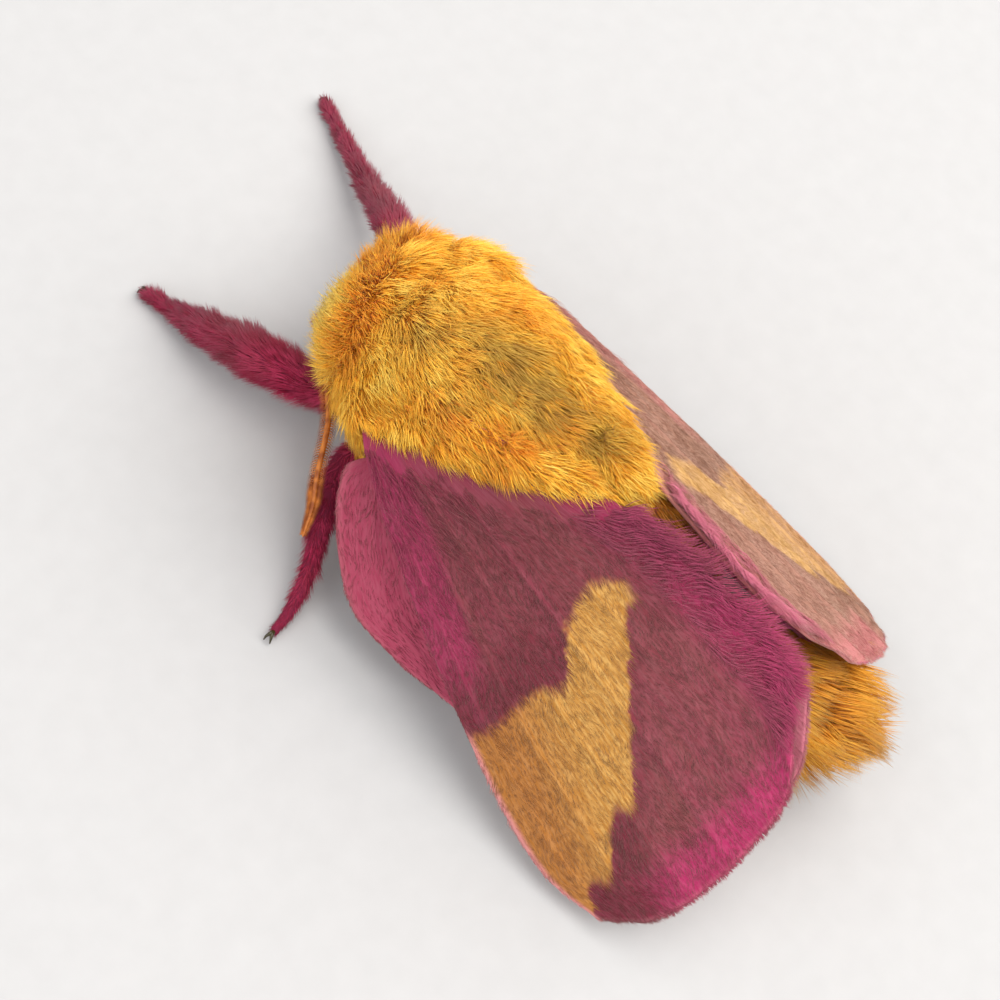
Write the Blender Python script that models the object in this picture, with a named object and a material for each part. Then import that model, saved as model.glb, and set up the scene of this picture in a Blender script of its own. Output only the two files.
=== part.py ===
"""Rosy maple moth at rest on a flat surface, a still life-size model.

The head points along -Y, the moth's left side is +X and its feet stand on Z = 0.
The wings are closed over the body like the two sides of a roof.
"""
import math
import random

import bmesh
import bpy
from mathutils import Matrix, Vector
from mathutils.bvhtree import BVHTree

MM = 0.001
GAP = 0.3 * MM
SMALL = 0.001 * MM
STEP = 0.05 * MM

SHEET = 0.5 * MM
VEIN_HEIGHT = 0.2 * MM
VEIN_HALF_WIDTH = 0.035
VEIN_RISE = 0.3
VEIN_FALL = 0.12
FORE_ROWS = 11
HIND_ROWS = 10
WING_LENGTH = 22.0 * MM
WING_DEPTH = 1.1 * MM

ROOF_RIDGE = 11.35 * MM
ROOF_FALL = math.radians(6.3)
ROOF_ARC = 13.0 * MM
RIDGE_HALF_GAP = 0.5 * MM
WING_START = Vector((4.1 * MM, -3.03 * MM))
HIND_START = Vector((3.7 * MM, 1.3 * MM))
HIND_SHIFT_REACH = 8.0 * MM

THORAX_CENTRE = Vector((0.0, 0.4 * MM, 5.0 * MM))
THORAX_SIZE = Vector((3.3 * MM, 5.4 * MM, 3.2 * MM))
CORE_SEGMENTS = 20
CORE_RINGS = 14
CUTTER_SEGMENTS = 28
CUTTER_RINGS = 20
COAT_CENTRE = Vector((0.0, 0.46 * MM, 5.46 * MM))
COAT_SIZE = Vector((5.0 * MM, 7.2 * MM, 4.87 * MM))

HEAD_CENTRE = Vector((0.0, -5.15 * MM, 3.9 * MM))
HEAD_SIZE = Vector((1.7 * MM, 1.45 * MM, 1.5 * MM))
EYE_CENTRE = Vector((1.35 * MM, -5.6 * MM, 3.85 * MM))
EYE_RADIUS = 0.65 * MM

FORE_ROOT = Vector((2.2 * MM, -2.6 * MM, 6.0 * MM))
HIND_ROOT = Vector((2.2 * MM, 1.5 * MM, 6.4 * MM))
FORE_ROOT_REACH = 2.2 * MM
HIND_ROOT_REACH = 2.6 * MM

# The wings' edges, from the root to the tip. The forewing's points are in wing lengths, along the
# wing and towards the inner edge. The hindwing's are in millimetres down the roof and to the rear.
FORE_COSTA = (
    (0.0, -0.03), (0.15, -0.045), (0.35, -0.055), (0.55, -0.055), (0.75, -0.04), (0.88, -0.01), (0.97, 0.05))
FORE_OUTER = ((0.97, 0.05), (1.0, 0.14), (0.987, 0.235), (0.945, 0.345), (0.885, 0.44), (0.77, 0.497))
FORE_INNER = (
    (0.0, 0.03), (0.08, 0.08), (0.25, 0.225), (0.35, 0.318), (0.45, 0.395), (0.63, 0.49), (0.70, 0.505),
    (0.77, 0.497))
HIND_COSTA = (
    (4.0, 0.2), (5.6, -0.8), (7.4, -1.0), (9.6, 0.3), (11.3, 2.6), (11.4, 5.2), (11.0, 7.6), (10.6, 11.0))
# The left hindwing's inner corner shows beyond the forewing, and the right one's is drawn in.
HIND_OUTER = {
    "left": ((10.6, 11.0), (9.2, 14.0), (7.2, 16.8), (4.9, 18.4), (2.6, 18.45), (0.4, 16.8)),
    "right": ((10.6, 11.0), (9.2, 14.0), (7.4, 16.4), (5.6, 17.4), (4.2, 17.0), (3.2, 15.6)),
}
HIND_INNER = {
    "left": ((3.4, 2.4), (2.4, 6.0), (1.5, 10.0), (0.9, 14.0), (0.4, 16.8)),
    "right": ((3.4, 2.4), (2.9, 6.0), (2.7, 10.0), (2.8, 13.0), (3.2, 15.6)),
}
FORE_VEINS = (0.09, 0.23, 0.38, 0.54, 0.70, 0.87)
HIND_VEINS = (0.12, 0.30, 0.48, 0.66, 0.84)

PATH_STEPS = 7
LOCK_TAPER = (0.55, 1.0, 0.75)
LONG_LOCK_TAPER = (0.45, 0.85, 1.0, 0.7)
LOCK_THICK = 0.3 * MM
LOCK_LEAN = 0.45
LOCK_ROOM = 0.85 * MM
SHORT_LOCK_STEPS = 6
COLLAR_ROOT = math.radians(38)
COLLAR_TIP = math.radians(15)
COLLAR_SPAN = math.radians(108)
COLLAR_LOCKS = 9
COAT_LEAN = math.radians(34)
COAT_LOCK_WIDTH = 1.0 * MM
SHOULDER_ROWS = (math.radians(26), math.radians(43))
SHOULDER_SPAN = math.radians(100)
SHOULDER_LOCKS = 9
BELLY_ROWS = tuple(math.radians(angle) for angle in (30, 55, 80, 108))
BELLY_FROM = math.radians(112)
BELLY_LOCKS = 5
SADDLE_START = Vector((0.0, -2.0 * MM))
SADDLE_LENGTH = 9.7 * MM
SADDLE_WIDTH = 4.9 * MM
SADDLE_ROUNDNESS = 1.6
SADDLE_ROWS = ((0.45, 5), (0.72, 8), (1.0, 12))
SADDLE_SPAN = math.radians(88)
SADDLE_ROOT = Vector((0.22, 0.42))
SADDLE_CLIMB = 0.45
SADDLE_RISE = 3.2
DRAPE = 0.72 * MM
DRAPE_REACH = 0.75 * MM
SADDLE_UP = Vector((0.0, 0.0, 1.0))

ABDOMEN_PATH = tuple(Vector(point) for point in (
    (0.0, 4.6, 4.6), (0.0, 8.5, 4.2), (-0.3, 12.0, 4.0), (-1.15, 15.2, 3.7), (-2.15, 17.3, 3.6)))
ABDOMEN_RADII = (1.9, 2.45, 2.3, 1.6, 1.0)
ABDOMEN_FLATNESS = 0.95
ABDOMEN_SEGMENTS = 8
SEGMENT_GROOVE = 0.12 * MM
# The tail tuft's rows: place and distance from the axis of the roots, then of the tips, and how many locks.
TAIL_ROWS = (
    (-3.0, 1.2, 0.8, 2.2, 9),
    (-1.6, 1.0, 2.3, 2.5, 10),
    (-0.7, 0.5, 3.0, 1.5, 8),
    (-0.4, 0.1, 3.3, 0.5, 3))
TAIL_LOCK_WIDTH = 0.75 * MM
TAIL_SPREAD_EASE = 0.8

LEG_RINGS = 12
LEG_STEPS = 60
LEG_LOCK_TURNS = (0.0, 1.6, 3.14)
LEG_LOCK_REACH = (8, 11)
LEG_LOCK_ROOT = 0.55
LEG_LOCK_RISE = 0.75
LEG_LOCK_BOW = 2.2
LEG_LOCK_WIDTH = 0.42 * MM
LEG_LOCK_THICK = 0.27 * MM

PALP_PATH = tuple(Vector(point) for point in ((0.45, -5.9, 3.1), (0.5, -6.6, 3.0), (0.55, -7.15, 3.4)))
PALP_RADII = (0.4, 0.45, 0.45, 0.38, 0.2)
HEAD_LOCK_WIDTH = 0.5 * MM
HEAD_LOCK_ROOT = 0.75
HEAD_LOCK_REACH = 0.6
HEAD_LOCK_TURN = 0.5
HEAD_LOCK_PLACES = ((72, 0), (66, 34), (66, -34), (45, 14), (45, -14), (60, 160), (60, -160))

ANTENNA_PATH = tuple(Vector(point) for point in (
    (0.8, -6.6, 5.15), (1.9, -5.9, 5.05), (2.9, -4.9, 4.4), (4.0, -3.3, 3.9), (5.5, -1.9, 3.4),
    (6.3, -1.2, 2.9), (7.3, -0.6, 2.5)))
ANTENNA_RINGS = 17
ANTENNA_WIDTH = 0.38 * MM
ANTENNA_THICK = 0.27 * MM
ANTENNA_NOTCH = 0.78

CRIMSON = (0.26, 0.014, 0.062, 1.0)
ROSE = (0.37, 0.05, 0.13, 1.0)
GOLD = (0.80, 0.37, 0.045, 1.0)
OCHRE = (0.62, 0.28, 0.04, 1.0)
BLACK = (0.012, 0.008, 0.008, 1.0)
AMBER = (0.40, 0.14, 0.03, 1.0)


def track(*points):
    return tuple(Vector(point) for point in points)


FRONT_LEFT_RADII = (0.6, 0.8, 1.0, 0.8, 0.42, 0.28)
FRONT_RIGHT_RADII = (0.6, 0.75, 0.8, 0.6, 0.38, 0.28)
REAR_RADII = (0.55, 0.6, 0.58, 0.43, 0.35, 0.28)
FRONT_LOCKS = (0.28, 0.42, 0.56)

# Each leg's path in millimetres from the body to the foot, its radii and where its locks grow.
LEGS = {
    "front_left": (
        track((1.3, -3.2, 3.0), (2.3, -5.0, 2.2), (3.0, -7.4, 2.0),
              (3.4, -9.8, 1.3), (3.6, -11.8, 0.6), (3.8, -13.4, 0.25)),
        FRONT_LEFT_RADII, FRONT_LOCKS),
    "front_right": (
        track((-1.3, -3.2, 3.0), (-2.7, -5.2, 2.6), (-4.9, -8.2, 2.5),
              (-6.3, -10.8, 1.3), (-7.6, -13.7, 0.6), (-8.6, -16.0, 0.25)),
        FRONT_RIGHT_RADII, FRONT_LOCKS),
    "middle_left": (
        track((1.6, -1.0, 2.7), (3.7, -2.0, 2.6), (5.8, -0.9, 2.0),
              (7.7, 0.3, 1.1), (9.0, 0.8, 0.45), (10.1, 1.0, 0.25)),
        REAR_RADII, ()),
    "middle_right": (
        track((-1.6, -1.0, 2.7), (-3.4, -1.5, 2.5), (-4.8, -0.6, 1.8),
              (-6.0, 0.3, 0.9), (-6.8, 0.8, 0.4), (-7.5, 1.0, 0.25)),
        REAR_RADII, ()),
    "hind_left": (
        track((1.6, 2.2, 2.8), (3.3, 4.0, 2.5), (4.5, 6.0, 1.8),
              (5.1, 8.2, 0.9), (5.3, 9.6, 0.4), (5.4, 10.6, 0.25)),
        REAR_RADII, ()),
    "hind_right": (
        track((-1.6, 2.2, 2.8), (-3.3, 4.0, 2.5), (-4.5, 6.0, 1.8),
              (-5.1, 8.2, 0.9), (-5.3, 9.6, 0.4), (-5.4, 10.6, 0.25)),
        REAR_RADII, ()),
}


class Pose:
    """How one pair of wings is held: its side, its slopes and how far it spreads."""

    def __init__(self, side, ridge_slope, edge_slope, spread, shift):
        self.side = side
        self.ridge_slope = math.radians(ridge_slope)
        self.edge_slope = math.radians(edge_slope)
        self.spread = math.radians(spread)
        self.start = WING_START + Vector((0.0, shift))


POSES = {
    "left": Pose(1, 42.0, 50.8, 24.1, 0.0),
    "right": Pose(-1, 42.3, 51.1, 23.7, -1.7 * MM),
}


def clear_scene():
    for thing in list(bpy.data.objects):
        bpy.data.objects.remove(thing, do_unlink=True)


def make_material(name, colour, roughness):
    material = bpy.data.materials.new(name)
    material.use_nodes = True
    shader = material.node_tree.nodes["Principled BSDF"]
    shader.inputs["Base Color"].default_value = colour
    shader.inputs["Roughness"].default_value = roughness
    return material


def place(name, mesh, material):
    mesh.name = name
    mesh.materials.clear()
    mesh.materials.append(material)
    thing = bpy.data.objects.new(name, mesh)
    bpy.context.collection.objects.link(thing)
    return thing


def to_mesh(bm):
    bmesh.ops.remove_doubles(bm, verts=bm.verts, dist=SMALL)
    bmesh.ops.recalc_face_normals(bm, faces=bm.faces)
    mesh = bpy.data.meshes.new("piece")
    bm.to_mesh(mesh)
    bm.free()
    return mesh


def smooth_line(points, count):
    """Even steps along a Catmull-Rom curve through the points."""
    points = [Vector(point) for point in points]
    ends = [points[0] * 2 - points[1]] + points + [points[-1] * 2 - points[-2]]
    spans = len(points) - 1
    line = []
    for step in range(count):
        place_on = step / (count - 1) * spans
        span = min(int(place_on), spans - 1)
        t = place_on - span
        a, b, c, d = ends[span:span + 4]
        bend = 2 * a - 5 * b + 4 * c - d
        twist = 3 * b - a - 3 * c + d
        line.append(0.5 * (2 * b + (c - a) * t + bend * t * t + twist * t ** 3))
    return line


def sweep(path, widths, heights, up, sides=8):
    """A closed tube along a path; a last width of zero makes a tip."""
    bm = bmesh.new()
    rings = []
    for index, point in enumerate(path):
        ahead = path[min(index + 1, len(path) - 1)]
        behind = path[max(index - 1, 0)]
        along = (ahead - behind).normalized()
        across = along.cross(up).normalized()
        lift = across.cross(along).normalized()
        if widths[index] == 0:
            rings.append([bm.verts.new(point)])
            continue
        ring = []
        for side in range(sides):
            turn = 2 * math.pi * (side + 0.5) / sides
            out = across * math.cos(turn) * widths[index]
            ring.append(bm.verts.new(point + out + lift * math.sin(turn) * heights[index]))
        rings.append(ring)
    bm.faces.new(rings[0])
    for first, second in zip(rings, rings[1:]):
        for side in range(sides):
            after = (side + 1) % sides
            if len(second) == 1:
                bm.faces.new((first[side], first[after], second[0]))
            else:
                bm.faces.new((first[side], first[after], second[after], second[side]))
    if len(rings[-1]) > 1:
        bm.faces.new(rings[-1])
    bmesh.ops.triangulate(bm, faces=bm.faces)
    return to_mesh(bm)


def ball(centre, size, segments, rings):
    bm = bmesh.new()
    bmesh.ops.create_uvsphere(bm, u_segments=segments, v_segments=rings, radius=1.0)
    bmesh.ops.scale(bm, vec=size, verts=bm.verts)
    bmesh.ops.translate(bm, vec=centre, verts=bm.verts)
    bmesh.ops.triangulate(bm, faces=bm.faces)
    return to_mesh(bm)


def is_closed(bm):
    return len(bm.faces) > 0 and all(len(edge.link_faces) == 2 for edge in bm.edges)


def cleaned(mesh):
    """A mesh as triangles, without its shortest edges where it stays closed without them."""
    for distance in (SMALL, SMALL / 4):
        bm = bmesh.new()
        bm.from_mesh(mesh)
        bmesh.ops.triangulate(bm, faces=bm.faces)
        bmesh.ops.dissolve_degenerate(bm, edges=bm.edges, dist=distance)
        bmesh.ops.triangulate(bm, faces=bm.faces)
        if is_closed(bm):
            return bm
        bm.free()
    bm = bmesh.new()
    bm.from_mesh(mesh)
    bmesh.ops.triangulate(bm, faces=bm.faces)
    return bm


def keep_largest(bm):
    """Delete all but the largest closed surface."""
    left = set(bm.faces)
    groups = []
    while left:
        group = []
        stack = [left.pop()]
        while stack:
            face = stack.pop()
            group.append(face)
            for edge in face.edges:
                for other in edge.link_faces:
                    if other in left:
                        left.remove(other)
                        stack.append(other)
        groups.append(group)
    groups.sort(key=lambda group: sum(face.calc_area() for face in group))
    scraps = [face for group in groups[:-1] for face in group]
    bmesh.ops.delete(bm, geom=scraps, context="FACES")
    loose = [vert for vert in bm.verts if not vert.link_faces]
    bmesh.ops.delete(bm, geom=loose, context="VERTS")


def run_boolean(mesh, others, operation, solver):
    scene = bpy.context.scene
    body = bpy.data.objects.new("body", mesh)
    scene.collection.objects.link(body)
    group = bpy.data.collections.new("pieces")
    scene.collection.children.link(group)
    for other in others:
        group.objects.link(bpy.data.objects.new("piece", other))
    change = body.modifiers.new("combine", "BOOLEAN")
    change.operation = operation
    change.solver = solver
    change.operand_type = "COLLECTION"
    change.collection = group
    bpy.context.view_layer.update()
    shaped = body.evaluated_get(bpy.context.evaluated_depsgraph_get())
    result = bpy.data.meshes.new_from_object(shaped)
    for thing in list(group.objects):
        bpy.data.objects.remove(thing, do_unlink=True)
    bpy.data.collections.remove(group)
    bpy.data.objects.remove(body, do_unlink=True)
    return result


def combine(mesh, others, operation):
    """Join or cut a mesh with a list of closed meshes in one Boolean."""
    if not others:
        return mesh
    for solver in ("EXACT", "MANIFOLD"):
        result = run_boolean(mesh, others, operation, solver)
        bm = cleaned(result)
        if is_closed(bm):
            break
    keep_largest(bm)
    bm.to_mesh(result)
    bm.free()
    return result


def grown_thorax():
    """What cuts a neighbour back from the thorax's core."""
    return ball(THORAX_CENTRE, THORAX_SIZE + Vector((GAP, GAP, GAP)), CUTTER_SEGMENTS, CUTTER_RINGS)


def near(distance, reach):
    return math.exp(-(distance / reach) ** 2)


def plain_roof(pose, across, along):
    """The roof before its wing roots bend down to the body."""
    bend = (pose.edge_slope - pose.ridge_slope) / ROOF_ARC
    inside = min(across, ROOF_ARC)
    slope = pose.ridge_slope + bend * inside
    outward = (math.sin(slope) - math.sin(pose.ridge_slope)) / bend
    down = (math.cos(pose.ridge_slope) - math.cos(slope)) / bend
    outward += (across - inside) * math.cos(pose.edge_slope)
    down += (across - inside) * math.sin(pose.edge_slope)
    fall = math.tan(ROOF_FALL) * (along - pose.start.y)
    return Vector((outward + RIDGE_HALF_GAP, along, ROOF_RIDGE - fall - down))


def roof(pose, across, along):
    """The forewing's middle surface, bent down to its root on the thorax."""
    point = plain_roof(pose, across, along)
    pull = near((Vector((across, along)) - pose.start).length, FORE_ROOT_REACH)
    return point + (FORE_ROOT - plain_roof(pose, pose.start.x, pose.start.y)) * pull


def surface_normal(surface, pose, across, along):
    first = surface(pose, across + STEP, along) - surface(pose, across - STEP, along)
    second = surface(pose, across, along + STEP) - surface(pose, across, along - STEP)
    return first.cross(second).normalized()


def under_roof(pose, across, along):
    """The hindwing's middle surface, below the forewing's."""
    start = HIND_START
    root = roof(pose, start.x, start.y) - surface_normal(roof, pose, start.x, start.y) * WING_DEPTH
    pull = near((Vector((across, along)) - start).length, HIND_ROOT_REACH)
    point = roof(pose, across, along) - surface_normal(roof, pose, across, along) * WING_DEPTH
    return point + (HIND_ROOT - root) * pull


def fore_plan(pose, point):
    """From wing lengths along and across the forewing to the roof's own directions."""
    along = point[0] * WING_LENGTH
    inward = point[1] * WING_LENGTH
    turn = pose.spread
    across = pose.start.x + along * math.sin(turn) - inward * math.cos(turn)
    back = pose.start.y + along * math.cos(turn) + inward * math.sin(turn)
    return Vector((across, back))


def hind_plan(pose, point):
    shift = pose.start.y - WING_START.y
    back = point[1] * MM
    return Vector((point[0] * MM, back + shift * min(1.0, max(0.0, back / HIND_SHIFT_REACH))))


def plan_grid(costa, outer, inner, columns, rows):
    """A grid of plan points between a wing's four edges."""
    fine = 200
    front = smooth_line(costa, fine)
    back = smooth_line(inner, fine)
    end = smooth_line(outer, fine)
    grid = []
    for row in rows:
        front_point = front[round(row * (fine - 1))]
        back_point = back[round(row * (fine - 1))]
        line = []
        for column in columns:
            root = front[0].lerp(back[0], column)
            tip = end[round(column * (fine - 1))]
            edges = front_point.lerp(back_point, column) + root.lerp(tip, row)
            corners = front[0].lerp(back[0], column).lerp(front[-1].lerp(back[-1], column), row)
            line.append(edges - corners)
        grid.append(line)
    return grid


def vein_columns(veins):
    columns = [0.0]
    for vein in veins:
        columns += [vein - VEIN_HALF_WIDTH, vein, vein + VEIN_HALF_WIDTH]
    return columns + [1.0]


def wing_mesh(pose, surface, plan, edges, veins, row_count):
    """A wing as a thin sheet with its veins raised on its upper face."""
    columns = vein_columns(veins)
    rows = [(index / (row_count - 1)) ** 0.9 for index in range(row_count)]
    grid = plan_grid(*edges, columns, rows)
    bm = bmesh.new()
    top = []
    bottom = []
    for row, line in zip(rows, grid):
        top_line = []
        bottom_line = []
        for column, point in zip(columns, line):
            across, along = plan(pose, point)
            point = surface(pose, across, along)
            normal = surface_normal(surface, pose, across, along)
            fade = min(1.0, row / VEIN_RISE, (1.0 - row) / VEIN_FALL)
            raised = VEIN_HEIGHT * fade if column in veins else 0.0
            upper = point + normal * (SHEET / 2 + raised)
            lower = point - normal * (SHEET / 2)
            top_line.append(bm.verts.new((upper.x * pose.side, upper.y, upper.z)))
            bottom_line.append(bm.verts.new((lower.x * pose.side, lower.y, lower.z)))
        top.append(top_line)
        bottom.append(bottom_line)
    for row in range(len(rows) - 1):
        for column in range(len(columns) - 1):
            for layer in (top, bottom):
                a, b = layer[row][column], layer[row][column + 1]
                c, d = layer[row + 1][column + 1], layer[row + 1][column]
                bm.faces.new((a, b, c))
                bm.faces.new((a, c, d))
    rim_top = rim(top)
    rim_bottom = rim(bottom)
    for index in range(len(rim_top)):
        after = (index + 1) % len(rim_top)
        bm.faces.new((rim_top[index], rim_top[after], rim_bottom[after]))
        bm.faces.new((rim_top[index], rim_bottom[after], rim_bottom[index]))
    return to_mesh(bm)


def rim(layer):
    side_out = [line[-1] for line in layer[1:-1]]
    side_back = [line[0] for line in layer[-2:0:-1]]
    return layer[0] + side_out + layer[-1][::-1] + side_back


def forewing(pose):
    return wing_mesh(pose, roof, fore_plan, (FORE_COSTA, FORE_OUTER, FORE_INNER), FORE_VEINS, FORE_ROWS)


def hindwing(name, pose):
    edges = (HIND_COSTA, HIND_OUTER[name], HIND_INNER[name])
    return wing_mesh(pose, under_roof, hind_plan, edges, HIND_VEINS, HIND_ROWS)


def build_wings(material):
    for name, pose in POSES.items():
        place("forewing_" + name, combine(forewing(pose), [grown_thorax()], "DIFFERENCE"), material)
        place("hindwing_" + name, combine(hindwing(name, pose), [grown_thorax()], "DIFFERENCE"), material)


def shapes_tree(meshes):
    """One search tree over the faces of several meshes."""
    points = []
    faces = []
    for mesh in meshes:
        first = len(points)
        points += [vert.co.copy() for vert in mesh.vertices]
        faces += [[first + index for index in face.vertices] for face in mesh.polygons]
    return BVHTree.FromPolygons(points, faces)


def clear_path(path, room, others):
    """Bend a lock's path away from its neighbours, or end it before it meets one."""
    cleared = [path[0]]
    for point in path[1:]:
        last = cleared[-1]
        step = point - last
        if others.ray_cast(last, step.normalized(), step.length + room / 2)[0] is not None:
            break
        found = others.find_nearest(point, room)[0]
        if found is not None:
            point = found + (point - found).normalized() * room
        cleared.append(point)
    return cleared


def folds(mesh, own):
    """Whether a lock bends so sharply that it crosses itself."""
    corners = [set(face.vertices) for face in mesh.polygons]
    return any(not corners[first] & corners[second] for first, second in own.overlap(own))


def is_clear(mesh, others):
    own = shapes_tree([mesh])
    if own.overlap(others) or folds(mesh, own):
        return False
    points = [vert.co for vert in mesh.vertices]
    for edge in mesh.edges:
        first, second = (mesh.vertices[index].co for index in edge.vertices)
        points += [first.lerp(second, 0.33), first.lerp(second, 0.67)]
    return all(others.find_nearest(point, GAP)[0] is None for point in points)


def lock_up(path, out):
    """An up direction that a lock's path never runs along, though it rises steeply at its root."""
    out = out.normalized()
    chord = path[-1] - path[0]
    lie = chord - out * chord.dot(out)
    return out - lie.normalized() * LOCK_LEAN


def lock(path, width, thick, out, others, bend=True, taper=LOCK_TAPER):
    """A flat lock of hair that tapers to a tip, or nothing where it has no room."""
    up = lock_up(path, out)
    if bend:
        path = clear_path(path, LOCK_ROOM, others)
    while len(path) > 2:
        line = smooth_line(path, len(taper) + 1)
        widths = [width * share for share in taper] + [0.0]
        heights = [thick * share for share in taper] + [0.0]
        mesh = sweep(line, widths, heights, up, 4)
        if is_clear(mesh, others):
            return mesh
        path = path[:-1]
    return None


def direction(polar, around):
    """Unit direction: polar is measured from the front, around from the top to the left."""
    return Vector((math.sin(polar) * math.sin(around), -math.cos(polar), math.sin(polar) * math.cos(around)))


def coat_point(depth, polar, around):
    """A point between the thorax's core, at depth 0, and the tips of its coat, at 1."""
    centre = THORAX_CENTRE.lerp(COAT_CENTRE, depth)
    size = THORAX_SIZE.lerp(COAT_SIZE, depth)
    aim = direction(polar, around)
    return centre + Vector((size.x * aim.x, size.y * aim.y, size.z * aim.z))


def coat_path(root, tip, reach):
    """From a root in the core to a tip in the coat's outline, each as (polar, around)."""
    path = []
    for step in range(PATH_STEPS + 1):
        share = step / PATH_STEPS
        depth = -0.3 + (reach + 0.3) * share ** 0.7
        polar = root[0] + (tip[0] - root[0]) * share ** 1.2
        path.append(coat_point(depth, polar, root[1] + (tip[1] - root[1]) * share))
    return path


def coat_height(x, y):
    """Height of the coat's outline above a point of the plan."""
    offset = Vector(((x - COAT_CENTRE.x) / COAT_SIZE.x, (y - COAT_CENTRE.y) / COAT_SIZE.y))
    return COAT_CENTRE.z + COAT_SIZE.z * math.sqrt(max(0.0, 1.0 - offset.length_squared))


def wing_height(wings, x, y):
    """Top of the wings round a point of the plan, or nothing where they don't reach."""
    down = Vector((0.0, 0.0, -1.0))
    heights = []
    for out in (-1, 0, 1):
        for back in (-1, 0, 1):
            start = Vector((x + out * DRAPE_REACH, y + back * DRAPE_REACH, 2 * ROOF_RIDGE))
            found = wings.ray_cast(start, down)[0]
            if found is not None:
                heights.append(found.z - DRAPE_REACH * abs(out) * 0.5)
    return max(heights, default=None)


def saddle_path(scale, fan, reach, wings):
    """A lock that rises between the wings and lies back over their roots."""
    out = SADDLE_WIDTH * abs(math.sin(fan)) ** SADDLE_ROUNDNESS * math.copysign(1.0, fan)
    tip = Vector((out, SADDLE_LENGTH * math.cos(fan))) * scale
    root = Vector((tip.x * SADDLE_ROOT.x, tip.y * SADDLE_ROOT.y))
    path = []
    for step in range(PATH_STEPS + 1):
        share = step / PATH_STEPS
        x, y = SADDLE_START + root.lerp(tip, share ** 1.2)
        height = coat_height(x, y)
        wing = wing_height(wings, x, y)
        if wing is not None:
            height = max(height, wing + DRAPE)
        base = THORAX_CENTRE.z + THORAX_SIZE.z * SADDLE_CLIMB
        path.append(Vector((x, y, base + (height - base) * reach * min(1.0, share * SADDLE_RISE) ** 0.6)))
    return path


def shoulder_paths(draw):
    """The collar, which points forward, the shoulders and the belly."""
    ends = []
    for index in range(COLLAR_LOCKS):
        around = COLLAR_SPAN * (2 * index / (COLLAR_LOCKS - 1) - 1)
        ends.append((COLLAR_ROOT, COLLAR_TIP, around))
    for row, root in enumerate(SHOULDER_ROWS):
        for index in range(SHOULDER_LOCKS + row):
            around = SHOULDER_SPAN * (2 * index / (SHOULDER_LOCKS + row - 1) - 1)
            ends.append((root, root + COAT_LEAN, around))
    for root in BELLY_ROWS:
        for index in range(BELLY_LOCKS):
            around = BELLY_FROM + (2 * math.pi - 2 * BELLY_FROM) * index / (BELLY_LOCKS - 1)
            ends.append((root, root + COAT_LEAN, around))
    paths = []
    for root, tip, around in ends:
        start = (root + draw.uniform(-0.04, 0.04), around + draw.uniform(-0.06, 0.06))
        end = (tip + draw.uniform(-0.08, 0.08), around + draw.uniform(-0.12, 0.12))
        paths.append(coat_path(start, end, draw.uniform(0.9, 1.0)))
    return paths


def saddle_paths(draw, wings):
    paths = []
    for scale, count in SADDLE_ROWS:
        for index in range(count):
            fan = SADDLE_SPAN * (2 * (index + draw.uniform(-0.2, 0.2)) / (count - 1) - 1)
            paths.append(saddle_path(scale * draw.uniform(0.92, 1.0), fan, draw.uniform(0.97, 1.03), wings))
    return paths


def thorax_locks(others, wings):
    draw = random.Random(7)
    locks = []
    for path in shoulder_paths(draw):
        width = COAT_LOCK_WIDTH * draw.uniform(0.85, 1.1)
        locks.append(lock(path, width, LOCK_THICK, path[0] - THORAX_CENTRE, others))
    for path in saddle_paths(draw, wings):
        width = COAT_LOCK_WIDTH * draw.uniform(0.85, 1.1)
        locks.append(lock(path, width, LOCK_THICK, SADDLE_UP, others, False, LONG_LOCK_TAPER))
    return [piece for piece in locks if piece]


def build_thorax(material, others, wings):
    core = ball(THORAX_CENTRE, THORAX_SIZE, CORE_SEGMENTS, CORE_RINGS)
    locks = thorax_locks(shapes_tree(others), shapes_tree(wings))
    place("thorax", combine(core, locks, "UNION"), material)


def abdomen_body():
    count = 2 * ABDOMEN_SEGMENTS + 3
    line = smooth_line([point * MM for point in ABDOMEN_PATH], count)
    radii = smooth_line([Vector((radius * MM, 0.0)) for radius in ABDOMEN_RADII], count)
    widths = []
    for index, radius in enumerate(radii):
        groove = SEGMENT_GROOVE if index % 2 else 0.0
        widths.append(radius.x - groove)
    heights = [width * ABDOMEN_FLATNESS for width in widths]
    body = sweep(line, widths, heights, Vector((0.0, 0.0, 1.0)), 12)
    return combine(body, [grown_thorax()], "DIFFERENCE")


def tail_locks(others):
    draw = random.Random(11)
    locks = []
    end = ABDOMEN_PATH[-1] * MM
    axis = (ABDOMEN_PATH[-1] - ABDOMEN_PATH[-2]).normalized()
    side = axis.cross(Vector((0.0, 0.0, 1.0))).normalized()
    lift = side.cross(axis)
    for row, (back, radius, tip_back, tip_radius, count) in enumerate(TAIL_ROWS):
        for index in range(count):
            turn = 2 * math.pi * (index + 0.5 * (row % 2)) / count + draw.uniform(-0.1, 0.1)
            out = side * math.cos(turn) + lift * math.sin(turn)
            long = draw.uniform(0.88, 1.0)
            path = []
            for step in range(SHORT_LOCK_STEPS + 1):
                share = step / SHORT_LOCK_STEPS
                distance = (back + (tip_back * long - back) * share) * MM
                spread = (radius + (tip_radius - radius) * share ** TAIL_SPREAD_EASE) * MM
                path.append(end + axis * distance + out * spread)
            piece = lock(path, TAIL_LOCK_WIDTH * draw.uniform(0.85, 1.1), LOCK_THICK, out, others)
            if piece:
                locks.append(piece)
    return locks


def build_abdomen(material, others):
    mesh = combine(abdomen_body(), tail_locks(shapes_tree(others)), "UNION")
    return place("abdomen", mesh, material)


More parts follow.
